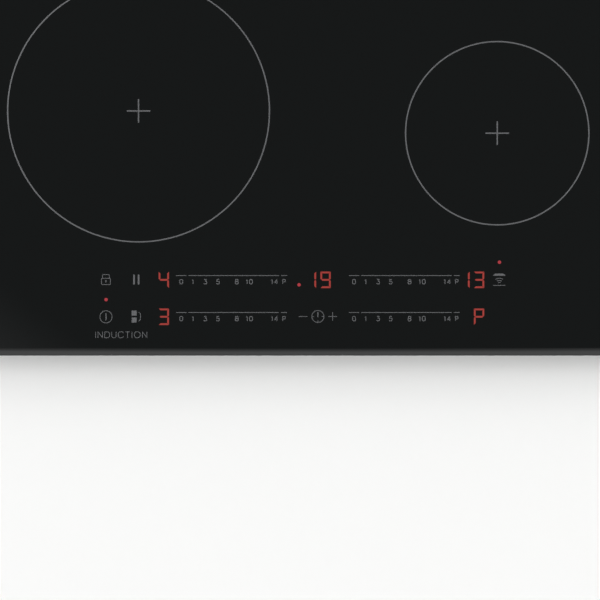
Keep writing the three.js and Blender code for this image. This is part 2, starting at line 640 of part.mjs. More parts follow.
for (const [name, side] of [["left", -1], ["right", 1]]) {
  add(cooktop, `rail_${name}`, sideRail(side), M.steel);
  add(cooktop, `coil_plate_${name}`, coilPlate(side), M.aluminium);

  const electronics = groupAt(side * BOARD.x, BOARD.y);
  add(electronics, `board_tray_${name}`, boardTray(), M.whitePlastic);
  add(electronics, `power_board_${name}`, powerBoard(side), M.board);
  add(electronics, `heat_sink_${name}`, heatSink(), M.aluminium).position.x = side * SINK.x;

  const fan = groupAt(FAN.x[name], FAN.y);
  add(fan, `fan_housing_${name}`, fanHousing(), M.blackPlastic);
  add(fan, `fan_rotor_${name}`, fanRotor(), M.blackPlastic);

  for (const [end, y] of [["front", -CLIP.y], ["rear", CLIP.y]]) {
    const holder = groupAt(side * CLIP.pivotX, y, CLIP.pivotZ);
    holder.rotation.z = side > 0 ? 0 : Math.PI;
    add(holder, `clip_${end}_${name}`, worktopClip(), M.spring);
  }
}

for (const zone of ZONES) {
  const coil = groupAt(zone.x, zone.y);
  add(coil, `coil_former_${zone.name}`, coilFormer(zone), M.former);
  add(coil, `coil_ferrite_${zone.name}`, ferriteStar(zone), M.ferrite);
  add(coil, `coil_winding_${zone.name}`, coilWinding(zone), M.copper);
  add(coil, `coil_mica_${zone.name}`, micaDisc(zone), M.mica);
  add(coil, `coil_sensor_${zone.name}`, sensorCap(), M.silicone);
  add(coil, `coil_spring_${zone.name}`, coilSpring(), M.spring);
}

add(cooktop, "control_holder", controlHolder(), M.whitePlastic);
add(cooktop, "control_board", controlBoard(), M.board);
add(cooktop, "display_left", displayBox(-131, -111, [PANEL_ROW.lower, PANEL_ROW.upper]), M.display);
add(cooktop, "display_timer", displayBox(-12, 12, [PANEL_ROW.upper]), M.display);
add(cooktop, "display_right", displayBox(110, 130, [PANEL_ROW.lower, PANEL_ROW.upper]), M.display);

const ribbon = add(cooktop, "ribbon_cable", ribbonCable(), M.whitePlastic);
ribbon.position.set(RIBBON.x, CONTROL.rearY + 1, 0);
ribbon.rotation.z = Math.PI / 2;

add(cooktop, "filter_board", filterBoard(), M.board);
add(cooktop, "filter_capacitor", filterCapacitor(), M.blackPlastic);
const choke = add(cooktop, "mains_choke", mainsChoke(), M.copper);
choke.position.set(CHOKE.x, (FILTER.front + FILTER.rear) / 2, FILTER_TOP);

add(cooktop, "terminal_box", terminalBox(), M.whitePlastic);
add(cooktop, "terminal_flap", terminalFlap(), M.whitePlastic);
add(cooktop, "terminal_block", terminalBlock(), M.blackPlastic);

const grommet = add(cooktop, "cable_grommet", cableGrommet(), M.seal);
grommet.position.set(CABLE.x, WALL_Y, CABLE.z);
grommet.rotation.x = -Math.PI / 2;

export default cooktop;
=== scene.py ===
import json
import math

import bmesh
import bpy
import numpy as np
from bpy.props import FloatProperty, FloatVectorProperty, PointerProperty
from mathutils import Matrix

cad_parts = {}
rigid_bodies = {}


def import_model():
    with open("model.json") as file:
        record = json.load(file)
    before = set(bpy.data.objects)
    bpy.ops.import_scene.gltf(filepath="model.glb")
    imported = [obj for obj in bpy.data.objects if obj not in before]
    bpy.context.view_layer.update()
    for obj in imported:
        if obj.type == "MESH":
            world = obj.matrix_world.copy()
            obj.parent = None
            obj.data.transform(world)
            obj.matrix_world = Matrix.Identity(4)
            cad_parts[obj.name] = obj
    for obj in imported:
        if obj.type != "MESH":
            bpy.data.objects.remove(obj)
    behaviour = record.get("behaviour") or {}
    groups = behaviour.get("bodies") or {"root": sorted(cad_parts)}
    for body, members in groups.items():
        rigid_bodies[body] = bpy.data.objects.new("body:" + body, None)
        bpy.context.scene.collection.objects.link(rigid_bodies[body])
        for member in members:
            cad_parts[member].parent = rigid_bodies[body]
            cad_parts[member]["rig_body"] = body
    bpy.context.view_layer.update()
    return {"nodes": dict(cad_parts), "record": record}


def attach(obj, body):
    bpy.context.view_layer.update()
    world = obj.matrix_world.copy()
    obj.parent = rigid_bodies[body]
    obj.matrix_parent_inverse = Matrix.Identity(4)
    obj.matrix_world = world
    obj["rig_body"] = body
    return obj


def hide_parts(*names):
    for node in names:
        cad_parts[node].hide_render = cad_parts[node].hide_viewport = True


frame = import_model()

bl_info = {
    "name": "Induction Cooktop",
    "version": (1, 0, 0),
    "blender": (4, 5, 0),
    "location": "3D View > Sidebar > Cooktop",
    "description": "Builds a built-in induction cooktop round its packed frame",
    "category": "Object",
}

# Lengths in the functions below are in millimetres, and MM turns them into Blender's metres.
MM = 0.001
BODY = "cooktop"

GLASS_WIDTH = 590.0
GLASS_DEPTH = 520.0
GLASS_TOP = 49.96  # the prints lie on this and end at the cooktop's full height
GLASS_UNDER = 46.0
PRINT_TOP = 50.0
PRINT_LOW = GLASS_TOP - 0.02
WINDING_MIDDLE = 42.9
CASE_X = 275.0
CASE_Y = 240.0
CASE_UNDER = 2.0
ROWS = {"lower": -230.0, "upper": -201.8}

ZONES = {
    "front_left": (-137.0, -73.0, 96.0),
    "rear_left": (-137.0, 134.0, 96.0),
    "front_right": (137.0, -90.0, 66.0),
    "rear_right": (137.0, 140.0, 82.0),
}
SIDES = {"left": -1, "right": 1}


# ------------------------------------------------------------------ settings

def length(name, description, default):
    """A length, with its default in millimetres."""
    return FloatProperty(
        name=name, description=description, default=default * MM, unit="LENGTH", precision=5
    )


def brightness(name, description, default):
    """The strength of a light."""
    return FloatProperty(name=name, description=description, default=default, min=0.0)


def colour(name, description, default):
    """A colour, with its default as red, green and blue from 0 to 255 turned into linear light."""
    linear = tuple(((c / 255 + 0.055) / 1.055) ** 2.4 if c > 10 else c / 3295 for c in default)
    return FloatVectorProperty(
        name=name, description=description, default=linear, subtype="COLOR", size=3, min=0.0, max=1.0
    )


class CooktopSizes(bpy.types.PropertyGroup):
    """Sizes of the glass and of its prints"""

    corner: length("Glass corner", "Radius of the glass plate's corners", 6.0)
    arris: length("Arris", "Rounding of the glass plate's polished edge", 0.7)
    front_bevel: length("Front bevel", "Width of the ground bevel along the front edge", 6.0)
    front_drop: length("Front bevel drop", "How far the front bevel falls towards the edge", 1.4)
    slider: length("Slider length", "Length of one slider line with its two end dashes", 84.6)
    level_pitch: length("Level pitch", "Distance from one level of a slider to the next", 4.8)
    line: length("Line width", "Width of a slider's printed line", 0.5)
    numeral: length("Numeral height", "Height of the printed numerals", 4.0)
    numeral_stroke: length("Numeral stroke", "Line width of the printed numerals", 0.57)
    icon_stroke: length("Sign stroke", "Line width of the printed signs", 0.46)
    zone_line: length("Zone line", "Width of the rings that mark the cooking zones", 1.0)
    digit_width: length("Digit width", "Width of a lit digit", 7.9)
    digit_height: length("Digit height", "Height of a lit digit", 12.6)
    segment: length("Segment width", "Width of one lit segment", 1.35)
    lamp: length("Lamp diameter", "Diameter of a lit dot", 2.6)


class CooktopColours(bpy.types.PropertyGroup):
    """Colours of the main finishes"""

    glass: colour("Glass", "Body of the black glass ceramic", (17, 19, 19))
    print: colour("Print", "Fired grey print on the glass", (99, 100, 102))
    lit: colour("Lit segment", "Light of the numerals", (163, 60, 54))
    lamp: colour("Lit dot", "Light of the small lamps", (170, 56, 64))
    steel: colour("Zinc-coated steel", "Casing and rails", (168, 171, 172))
    spring: colour("Spring steel", "Clips and springs", (176, 178, 180))
    aluminium: colour("Aluminium", "Coil plates and heat sinks", (196, 198, 200))
    copper: colour("Copper", "Varnished strands of the coils", (176, 98, 52))
    board: colour("Board", "Solder resist of the circuit boards", (36, 84, 52))
    white_plastic: colour("White plastic", "Trays and mains box", (214, 214, 208))
    black_plastic: colour("Black plastic", "Blowers and small housings", (30, 31, 33))
    rubber: colour("Rubber", "Seal and grommet", (24, 24, 25))


class CooktopStudio(bpy.types.PropertyGroup):
    """Floor, lights and camera"""

    floor: colour("Floor", "Colour of the studio's floor", (246, 246, 245))
    key: brightness("Key light", "Brightness of the main soft light", 9.4)
    fill: brightness("Fill light", "Brightness of the opposite light", 5.2)
    low_tent: brightness("Low tent", "Brightness of the tent near the floor", 0.4)
    high_tent: brightness("High tent", "Brightness of the tent's slope", 1.3)
    horizon: brightness("Horizon", "Brightness where tent and floor meet", 0.97)
    roof: brightness("Roof", "Brightness of the tent straight above", 0.075)
    lens: FloatProperty(name="Lens", description="Focal length of the camera", default=90.0, unit="CAMERA")
    view_width: length("View width", "Width of the glass that the camera takes in", 458.3)
    view_x: length("View centre X", "Where the camera looks, across the cooktop", -13.67)
    view_y: length("View centre Y", "Where the camera looks, along the cooktop's depth", -217.4)


class CooktopSettings(bpy.types.PropertyGroup):
    """All settings of the cooktop"""

    sizes: PointerProperty(type=CooktopSizes, name="Sizes", description="Sizes of the glass and its prints")
    colours: PointerProperty(type=CooktopColours, name="Colours", description="Colours of the finishes")
    studio: PointerProperty(type=CooktopStudio, name="Studio", description="Floor, lights and camera")


# ------------------------------------------------------------------ shapes

def arc(x, y, radius, start, stop, steps):
    """Points on a circle: (x + radius cos a, y + radius sin a), with a from start to stop in degrees."""
    a = np.radians(np.linspace(start, stop, steps))
    return np.column_stack([x + radius * np.cos(a), y + radius * np.sin(a)])


def circle(x, y, radius, steps=64):
    """A full circle of points, without repeating the first."""
    return arc(x, y, radius, 0, 360, steps + 1)[:-1]


def outline(width, depth, radius, x=0.0, y=0.0, steps=8):
    """A rectangle with a quarter circle at each corner."""
    w, d = width / 2 - radius, depth / 2 - radius
    corners = [(w, -d, -90), (w, d, 0), (-w, d, 90), (-w, -d, 180)]
    return np.vstack([arc(x + cx, y + cy, radius, a, a + 90, steps) for cx, cy, a in corners])


def eased(corners, cut, closed=False, steps=7):
    """Corners rounded by parabolas (1-s)^2 S + 2s(1-s) P + s^2 E, where S and E lie the cut off P."""
    p = np.asarray(corners, float)
    back = np.roll(p, 1, 0) - p
    ahead = np.roll(p, -1, 0) - p
    reach = np.broadcast_to(np.asarray(cut, float), len(p))[:, None]
    back_length = np.linalg.norm(back, axis=1, keepdims=True)
    ahead_length = np.linalg.norm(ahead, axis=1, keepdims=True)
    start = p + back / back_length * np.minimum(reach, back_length * 0.49)
    end = p + ahead / ahead_length * np.minimum(reach, ahead_length * 0.49)
    s = np.linspace(0, 1, steps)[None, :, None]
    curve = (1 - s) ** 2 * start[:, None] + 2 * s * (1 - s) * p[:, None] + s**2 * end[:, None]
    if closed:
        return curve.reshape(-1, 2)
    return np.vstack([p[:1], curve[1:-1].reshape(-1, 2), p[-1:]])


def sides_of(path, width, closed=False):
    """Both sides of a line of even width: path +- width/2 n, with n = (n1 + n2) / (1 + n1.n2).

    n1 and n2 are the normals before and after a point, and n is held to a length of 1.4.
    """
    p = np.asarray(path, float)
    step = np.roll(p, -1, 0) - p
    if not closed:
        step[-1] = step[-2]
    size = np.linalg.norm(step, axis=1, keepdims=True)
    step = step / np.maximum(size, 1e-9)
    normal = np.column_stack([-step[:, 1], step[:, 0]])
    before = np.roll(normal, 1, 0)
    if not closed:
        before[0] = normal[0]
    mitre = (normal + before) / np.maximum(1 + np.sum(normal * before, 1, keepdims=True), 0.05)
    mitre *= np.minimum(1.0, 1.4 / np.maximum(np.linalg.norm(mitre, axis=1, keepdims=True), 1e-9))
    return p + mitre * width / 2, p - mitre * width / 2


def at_height(points, z):
    """Flat points lifted to the height z."""
    return np.column_stack([points, np.broadcast_to(z, len(points))])


def shell(rings, loop=False):
    """Closed skin over a stack of rings: quads join each ring to the next, and each end ring gets one face.

    With loop, the last ring joins the first instead, as in a picture frame.
    """
    rings = np.asarray(rings, float)
    count, around = rings.shape[:2]
    index = np.arange(count * around).reshape(count, around)
    low = index if loop else index[:-1]
    high = np.roll(index, -1, 0) if loop else index[1:]
    quads = np.stack([low, np.roll(low, -1, 1), np.roll(high, -1, 1), high], -1).reshape(-1, 4)
    faces = quads.tolist()
    if not loop:
        faces += [index[0][::-1].tolist(), index[-1].tolist()]
    return rings.reshape(-1, 3), faces


def slab(points, low, high):
    """A flat outline given thickness between two heights."""
    return shell([at_height(points, low), at_height(points, high)])


def turned(profile, x=0.0, y=0.0, sides=48, loop=False):
    """Body of revolution: (x + r cos a, y + r sin a, z) for each [r, z] of the profile."""
    a = np.linspace(0, 2 * np.pi, sides, endpoint=False)
    r, z = np.transpose(profile)
    ring_x = x + r[:, None] * np.cos(a)
    ring_y = y + r[:, None] * np.sin(a)
    return shell(np.stack([ring_x, ring_y, np.broadcast_to(z[:, None], ring_x.shape)], -1), loop)


def line(path, width, closed=False, low=PRINT_LOW, high=PRINT_TOP):
    """A flat line of even width along a path, given thickness: a four-cornered section at each point."""
    left, right = sides_of(path, width, closed)
    corners = [at_height(left, high), at_height(right, high), at_height(right, low), at_height(left, low)]
    if closed:
        return shell(corners, loop=True)
    return shell(np.stack(corners, 1))


def stepped(skins, step=0.006):
    """Prints with tops on three heights, a few micrometres apart, so that crossing lines share no plane."""
    return [
        (points - np.where(points > GLASS_TOP, step * (k % 3), 0) * (0, 0, 1), faces)
        for k, (points, faces) in enumerate(skins)
    ]


def moved(skin, turn=None, by=(0.0, 0.0, 0.0)):
    """A skin turned by a 3 x 3 matrix and then shifted."""
    points, faces = skin
    if turn is not None:
        points = points @ np.asarray(turn, float).T
    return points + np.asarray(by, float), faces


# Turns that point an upright screw out of a wall: the rows say where X, Y and Z of the result come from.
FACING = {
    "down": ((1, 0, 0), (0, -1, 0), (0, 0, -1)),
    "left": ((0, 0, -1), (0, 1, 0), (1, 0, 0)),
    "right": ((0, 0, 1), (0, 1, 0), (-1, 0, 0)),
    "front": ((1, 0, 0), (0, 0, -1), (0, 1, 0)),
    "rear": ((1, 0, 0), (0, 0, 1), (0, -1, 0)),
    "up": ((1, 0, 0), (0, 1, 0), (0, 0, 1)),
}


def piece(name, skins, slot, body=BODY, replaces=(), crease=38.0, finish=None):
    """One object from closed skins, smooth but at edges sharper than crease degrees, riding on a body.

    It takes the finish of its slot, unless another one is named.
    """
    starts = np.cumsum([0] + [len(points) for points, _ in skins[:-1]])
    vertices = np.vstack([points for points, _ in skins]) * MM
    faces = [[i + int(start) for i in face] for start, (_, found) in zip(starts, skins) for face in found]
    mesh = bpy.data.meshes.new(name)
    mesh.from_pydata(vertices.tolist(), [], faces)
    if mesh.validate():
        raise RuntimeError(f"{name} had faces that Blender took out")
    shape = bmesh.new()
    shape.from_mesh(mesh)
    bmesh.ops.recalc_face_normals(shape, faces=shape.faces)
    shape.to_mesh(mesh)
    shape.free()
    mesh.materials.append(finish_of(finish or slot))
    return finished(name, mesh, body, replaces, crease)


def finished(name, mesh, body, replaces, crease):
    """Shades a mesh, puts it in the scene as an object and ties it to its body."""
    mesh.polygons.foreach_set("use_smooth", np.ones(len(mesh.polygons), bool))
    mesh.set_sharp_from_angle(angle=math.radians(crease))
    obj = bpy.data.objects.new(name, mesh)
    bpy.context.scene.collection.objects.link(obj)
    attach(obj, body)
    if replaces:
        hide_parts(*replaces)
    return obj


def bevelled(obj, width):
    """Eases an object's edges by width millimetres."""
    bevel = obj.modifiers.new("Eased edges", "BEVEL")
    bevel.width = width * MM
    bevel.segments = 2
    bevel.limit_method = "ANGLE"
    bevel.angle_limit = math.radians(40)
    bevel.harden_normals = True
    return obj


def refined(name, node, width, slot):
    """A frame solid made again with its flat faces whole and its edges eased, in place of the plain one."""
    shape = bmesh.new()
    shape.from_mesh(frame["nodes"][node].data)
    bmesh.ops.remove_doubles(shape, verts=shape.verts, dist=1e-6)
    bmesh.ops.dissolve_limit(shape, angle_limit=math.radians(0.5), verts=shape.verts, edges=shape.edges)
    mesh = bpy.data.meshes.new(name)
    shape.to_mesh(mesh)
    shape.free()
    mesh.materials.clear()
    mesh.materials.append(finish_of(slot))
    body = frame["nodes"][node]["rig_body"]
    return bevelled(finished(name, mesh, body, [node], 30.0), width)


# ------------------------------------------------------------------ shader node groups

def add(tree, kind, links=None, **values):
    """A new node with its settings, input values and input links."""
    node = tree.nodes.new("ShaderNode" + kind)
    for key, value in values.items():
        if hasattr(node, key):
            setattr(node, key, value)
        else:
            node.inputs[key.replace("_", " ")].default_value = value
    for socket, source in (links or {}).items():
        tree.links.new(source, node.inputs[socket])
    return node


def noise(tree, vector, **values):
    """The value of a noise texture."""
    return add(tree, "TexNoise", {"Vector": vector}, **values).outputs["Fac"]


def cells(tree, vector, **values):
    """The distance to the nearest point of a cell texture."""
    return add(tree, "TexVoronoi", {"Vector": vector}, **values).outputs["Distance"]


def product(tree, first, second):
    """Two values multiplied."""
    return add(tree, "Math", {0: first, 1: second}, operation="MULTIPLY").outputs[0]


def stretched(tree, vector, scale, turn=0.0):
    """A vector turned about Z by an angle and scaled differently along each axis."""
    node = add(tree, "Mapping", {"Vector": vector}, Rotation=(0.0, 0.0, turn), Scale=scale)
    return node.outputs["Vector"]


def mix_colours(tree, factor, first, second):
    """A colour that goes from the first to the second as factor goes from 0 to 1."""
    node = tree.nodes.new("ShaderNodeMix")
    node.data_type = "RGBA"
    tree.links.new(factor, node.inputs[0])
    for socket, value in ((node.inputs[6], first), (node.inputs[7], second)):
        if isinstance(value, bpy.types.NodeSocket):
            tree.links.new(value, socket)
        else:
            socket.default_value = (*value, 1.0)
    return node.outputs[2]


def spread(tree, value, low, high):
    """A value mapped from 0..1 to low..high."""
    node = tree.nodes.new("ShaderNodeMapRange")
    tree.links.new(value, node.inputs["Value"])
    for socket, limit in (("To Min", low), ("To Max", high)):
        if isinstance(limit, bpy.types.NodeSocket):
            tree.links.new(limit, node.inputs[socket])
        else:
            node.inputs[socket].default_value = limit
    return node.outputs["Result"]


def effect_group(title, **values):
    """A shader group from a vector, two tones and some values to a colour, a roughness and a height."""
    group = bpy.data.node_groups.new(title, "ShaderNodeTree")
    new_socket = group.interface.new_socket
    for name, kind in (("Vector", "Vector"), ("Tone", "Color"), ("Shade", "Color")):
        new_socket(name, in_out="INPUT", socket_type="NodeSocket" + kind)
    for name, value in values.items():
        socket = new_socket(name.replace("_", " "), in_out="INPUT", socket_type="NodeSocketFloat")
        socket.default_value = value
    for name, kind in (("Color", "Color"), ("Roughness", "Float"), ("Height", "Float")):
        new_socket(name, in_out="OUTPUT", socket_type="NodeSocket" + kind)
    return group, group.nodes.new("NodeGroupInput").outputs


def put_out(group, colour_out, roughness, height):
    """Ends a shader group with its three outputs."""
    out = group.nodes.new("NodeGroupOutput").inputs
    for name, source in (("Color", colour_out), ("Roughness", roughness), ("Height", height)):
        group.links.new(source, out[name])
    return group


def moulded_grain(title):
    """Plastic and rubber: a slow drift of tone and roughness, small specks, and a fine pebbled height."""
    group, given = effect_group(title, Grain_Scale=2500.0, Smooth=0.4, Rough=0.6)
    vector = given["Vector"]
    drift = noise(group, vector, Scale=28.0, Detail=4.0, Roughness=0.6)
    pebble = add(group, "TexNoise", {"Vector": vector, "Scale": given["Grain Scale"]}, Detail=2.0)
    tone = product(group, drift, cells(group, vector, Scale=900.0))
    colour_out = mix_colours(group, tone, given["Tone"], given["Shade"])
    rough = spread(group, drift, given["Smooth"], given["Rough"])
    return put_out(group, colour_out, rough, pebble.outputs["Fac"])


def rolled_sheet(title):
    """Sheet metal: streaks along one axis mixed with the coating's cells give tone and roughness.

    The streaks alone give the height.
    """
    group, given = effect_group(title, Cell_Scale=110.0, Cells=0.5, Smooth=0.3, Rough=0.5)
    drawn = stretched(group, given["Vector"], (6.0, 260.0, 260.0))
    streak = noise(group, drawn, Scale=3.0, Detail=5.0, Roughness=0.65)
    coating = add(group, "TexVoronoi", {"Vector": given["Vector"], "Scale": given["Cell Scale"]})
    cell = add(group, "SeparateColor", {"Color": coating.outputs["Color"]}).outputs[0]
    blend = add(group, "Mix", {0: given["Cells"], 2: streak, 3: cell}, data_type="FLOAT").outputs[0]
    colour_out = mix_colours(group, blend, given["Tone"], given["Shade"])
    return put_out(group, colour_out, spread(group, blend, given["Smooth"], given["Rough"]), streak)


def wiped_gloss(title):
    """Polished glass in use: wiping marks and fine scratches make it rougher, and rare dust is the shade."""
    group, given = effect_group(title, Clean=0.03, Marked=0.1)
    vector = given["Vector"]
    wiped = stretched(group, vector, (5.0, 22.0, 5.0), 0.35)
    wipe = noise(group, wiped, Scale=1.0, Detail=6.0, Roughness=0.55, Distortion=1.2)
    scratch = noise(group, stretched(group, vector, (12.0, 900.0, 12.0), 1.1), Scale=2.0, Detail=1.0)
    rough = spread(group, product(group, scratch, wipe), given["Clean"], given["Marked"])
    dust = add(group, "Math", {0: cells(group, vector, Scale=140.0)}, operation="LESS_THAN")
    dust.inputs[1].default_value = 0.018
    return put_out(group, mix_colours(group, dust.outputs[0], given["Tone"], given["Shade"]), rough, wipe)


def fired_print(title):
    """Fired enamel: the dots of a printing screen, mottled, for tone and height."""
    group, given = effect_group(title)
    screen = cells(group, given["Vector"], Scale=3800.0, Randomness=0.35)
    mottle = noise(group, given["Vector"], Scale=420.0, Detail=3.0)
    colour_out = mix_colours(group, product(group, screen, mottle), given["Tone"], given["Shade"])
    return put_out(group, colour_out, spread(group, mottle, 0.12, 0.3), screen)


def twisted_strand(title):
    """Stranded wire: slanted ridges for height and for painted shade in their grooves, and tarnish for tone
    and roughness.
    """
    group, given = effect_group(title)
    wave = add(
        group, "TexWave", {"Vector": given["Vector"]}, Scale=320.0, Distortion=2.0, Detail=2.0,
        bands_direction="DIAGONAL",
    )
    ridge = wave.outputs["Fac"]
    tarnish = noise(group, given["Vector"], Scale=60.0, Detail=4.0)
    # Where the ridges are low the colour falls to the shade: painted shade in the grooves between strands,
    # mixed with the tarnish's tone.
    colour_out = mix_colours(group, product(group, ridge, tarnish), given["Shade"], given["Tone"])
    return put_out(group, colour_out, spread(group, tarnish, 0.32, 0.55), ridge)


EFFECTS = {
    "Moulded Grain": moulded_grain,
    "Rolled Sheet": rolled_sheet,
    "Wiped Gloss": wiped_gloss,
    "Fired Print": fired_print,
    "Twisted Strand": twisted_strand,
}


# ------------------------------------------------------------------ materials

def shaded(rgb, factor):
    """The same colour, darker or lighter."""
    return tuple(min(c * factor, 1.0) for c in rgb)


def surface(name, effect, tone, shade, bump, depth, metallic=0.0, **values):
    """A material with an effect's colour, roughness and height. The shade is a factor on the tone."""
    material = bpy.data.materials.new(name)
    material.use_nodes = True
    tree = material.node_tree
    shader = tree.nodes["Principled BSDF"]
    shader.inputs["Metallic"].default_value = metallic
    node = tree.nodes.new("ShaderNodeGroup")
    node.node_tree = bpy.data.node_groups.get(effect) or EFFECTS[effect](effect)
    tree.links.new(add(tree, "TexCoord").outputs["Object"], node.inputs["Vector"])
    node.inputs["Tone"].default_value = (*tone, 1.0)
    node.inputs["Shade"].default_value = (*shaded(tone, shade), 1.0)
    for socket, value in values.items():
        node.inputs[socket.replace("_", " ")].default_value = value
    height = add(tree, "Bump", {"Height": node.outputs["Height"]}, Strength=bump, Distance=depth * MM)
    tree.links.new(node.outputs["Color"], shader.inputs["Base Color"])
    tree.links.new(node.outputs["Roughness"], shader.inputs["Roughness"])
    tree.links.new(height.outputs["Normal"], shader.inputs["Normal"])
    return material


def glowing(name, rgb, edge):
    """A lit face: its light goes unevenly from edge times its colour to the full colour."""
    material = surface(name, "Fired Print", shaded(rgb, 0.05), 0.8, 0.1, 0.01)
    tree = material.node_tree
    shader = tree.nodes["Principled BSDF"]
    uneven = noise(tree, add(tree, "TexCoord").outputs["Object"], Scale=600.0, Detail=2.0)
    tree.links.new(mix_colours(tree, uneven, shaded(rgb, edge), rgb), shader.inputs["Emission Color"])
    shader.inputs["Emission Strength"].default_value = 1.0
    return material


FERRITE = (0.035, 0.035, 0.037)
MICA = (0.42, 0.40, 0.33)
SILICONE = (0.66, 0.65, 0.61)
FORMER_BROWN = (0.19, 0.055, 0.028)
LIGHT_BOX_RED = (0.05, 0.006, 0.005)

# The finish of each slot: name, effect, colour or the name of its setting, shade, the bump's strength and
# its depth in millimetres, how metallic it is, and the effect's own values.
FINISHES = {
    "black_glass": ("Black glass ceramic", "Wiped Gloss", "glass", 4.0, 0.02, 0.02, 0.0,
                    dict(Clean=0.02, Marked=0.09)),
    "print": ("Fired grey print", "Fired Print", "print", 0.85, 0.3, 0.01, 0.0, {}),
    "seal_rubber": ("Black foam rubber", "Moulded Grain", "rubber", 0.6, 0.6, 0.08, 0.0,
                    dict(Grain_Scale=1600.0, Smooth=0.75, Rough=0.95)),
    "sheet_steel": ("Zinc-coated steel", "Rolled Sheet", "steel", 0.84, 0.12, 0.02, 0.9,
                    dict(Cell_Scale=330.0, Cells=0.55, Smooth=0.32, Rough=0.52)),
    "spring_steel": ("Spring steel", "Rolled Sheet", "spring", 0.8, 0.2, 0.02, 0.9,
                     dict(Cell_Scale=400.0, Cells=0.15, Smooth=0.22, Rough=0.4)),
    "aluminium_sheet": ("Mill-finish aluminium", "Rolled Sheet", "aluminium", 0.85, 0.2, 0.02, 0.9,
                        dict(Cell_Scale=300.0, Cells=0.1, Smooth=0.28, Rough=0.45)),
    # The copper's shade factor sets how dark the painted shade in the strands' grooves is.
    "copper_winding": ("Varnished copper strand", "Twisted Strand", "copper", 0.45, 0.6, 0.15, 0.75, {}),
    "ferrite": ("Sintered ferrite", "Moulded Grain", FERRITE, 0.6, 0.4, 0.04, 0.0,
                dict(Grain_Scale=3000.0, Smooth=0.55, Rough=0.75)),
    "mica_sheet": ("Pressed mica", "Moulded Grain", MICA, 0.62, 0.25, 0.03, 0.0,
                   dict(Grain_Scale=700.0, Smooth=0.35, Rough=0.6)),
    "silicone": ("White silicone", "Moulded Grain", SILICONE, 0.85, 0.2, 0.03, 0.0,
                 dict(Smooth=0.5, Rough=0.7)),
    "former_plastic": ("Brown heat-proof plastic", "Moulded Grain", FORMER_BROWN, 0.6, 0.3, 0.04, 0.0,
                       dict(Smooth=0.4, Rough=0.65)),
    "circuit_board": ("Green circuit board", "Moulded Grain", "board", 0.55, 0.3, 0.03, 0.0,
                      dict(Grain_Scale=900.0, Smooth=0.25, Rough=0.5)),
    "white_plastic": ("Off-white plastic", "Moulded Grain", "white_plastic", 0.86, 0.25, 0.03, 0.0,
                      dict(Smooth=0.4, Rough=0.6)),
    "black_plastic": ("Black plastic", "Moulded Grain", "black_plastic", 0.55, 0.3, 0.03, 0.0,
                      dict(Smooth=0.35, Rough=0.6)),
    "display_red": ("Dark red light box", "Moulded Grain", LIGHT_BOX_RED, 0.5, 0.2, 0.02, 0.0,
                    dict(Smooth=0.25, Rough=0.4)),
}
MATERIALS = {}


def finish_of(slot):
    """The finish of a slot, or of a lit face, made the first time it is asked for."""
    if slot not in MATERIALS:
        colours = bpy.context.scene.cooktop.colours
        if slot in ("lit", "lamp"):
            name, edge = {"lit": ("Lit segment", 0.82), "lamp": ("Lit dot", 0.9)}[slot]
            MATERIALS[slot] = glowing(name, tuple(getattr(colours, slot)), edge)
        else:
            name, effect, tone, shade, bump, depth, metallic, values = FINISHES[slot]
            rgb = tuple(getattr(colours, tone)) if isinstance(tone, str) else tone
            MATERIALS[slot] = surface(name, effect, rgb, shade, bump, depth, metallic, **values)
    return MATERIALS[slot]


# ------------------------------------------------------------------ glass and seal

def glass_outline(inset, corner, z):
    """The plate's outline at a height, drawn in on all sides."""
    return at_height(outline(GLASS_WIDTH - 2 * inset, GLASS_DEPTH - 2 * inset, corner), z)


class COOKTOP_OT_glass(bpy.types.Operator):
    """Glass plate with a polished edge, a ground front bevel, and the foam seal below it"""

    bl_idname = "cooktop.glass"
    bl_label = "Glass and Seal"

    def execute(self, context):
        sizes = context.scene.cooktop.sizes
        piece("glass_plate", [self.plate(sizes)], "black_glass", replaces=["glass_top"], crease=25.0)
        piece("foam_seal", [self.seal()], "seal_rubber", replaces=["edge_seal"])
        return {"FINISHED"}

    def plate(self, sizes):
        """Rounded rectangles stacked by [inset, height], with a quarter round at both edges.

        Along the front z is lowered by drop (1 - t / bevel), where t is the distance from the front edge.
        """
        arris, corner = sizes.arris / MM, sizes.corner / MM
        bevel, drop = sizes.front_bevel / MM, sizes.front_drop / MM
        turn = np.radians(np.linspace(0, 90, 6))
        inset = np.concatenate([arris * (1 - np.sin(turn)), arris * (1 - np.cos(turn)), [bevel]])
        lower = GLASS_UNDER + arris * (1 - np.cos(turn))
        upper = GLASS_TOP - arris * (1 - np.sin(turn))
        rings = np.stack([
            glass_outline(i, max(corner - i, 0.05), z)
            for i, z in zip(inset, np.concatenate([lower, upper, [GLASS_TOP]]))
        ])
        t = rings[..., 1] + GLASS_DEPTH / 2
        above = rings[..., 2] > (GLASS_TOP + GLASS_UNDER) / 2
        rings[..., 2] -= np.where(above, np.clip(drop * (1 - t / bevel), 0, None), 0)
        return shell(rings)

    def seal(self):
        """A soft lip carried round the plate: its section is [inset, height] with a rounded outer edge."""
        outer = [(2.0, 45.7), (2.0, 44.9), (2.4, 44.3), (3.2, 44.0)]
        section = [*outer, (11.0, 44.0), (11.8, 44.4), (12.0, 45.7)]
        return shell([glass_outline(i, max(6.0 - i * 0.3, 1.0), z) for i, z in section], loop=True)


# ------------------------------------------------------------------ prints

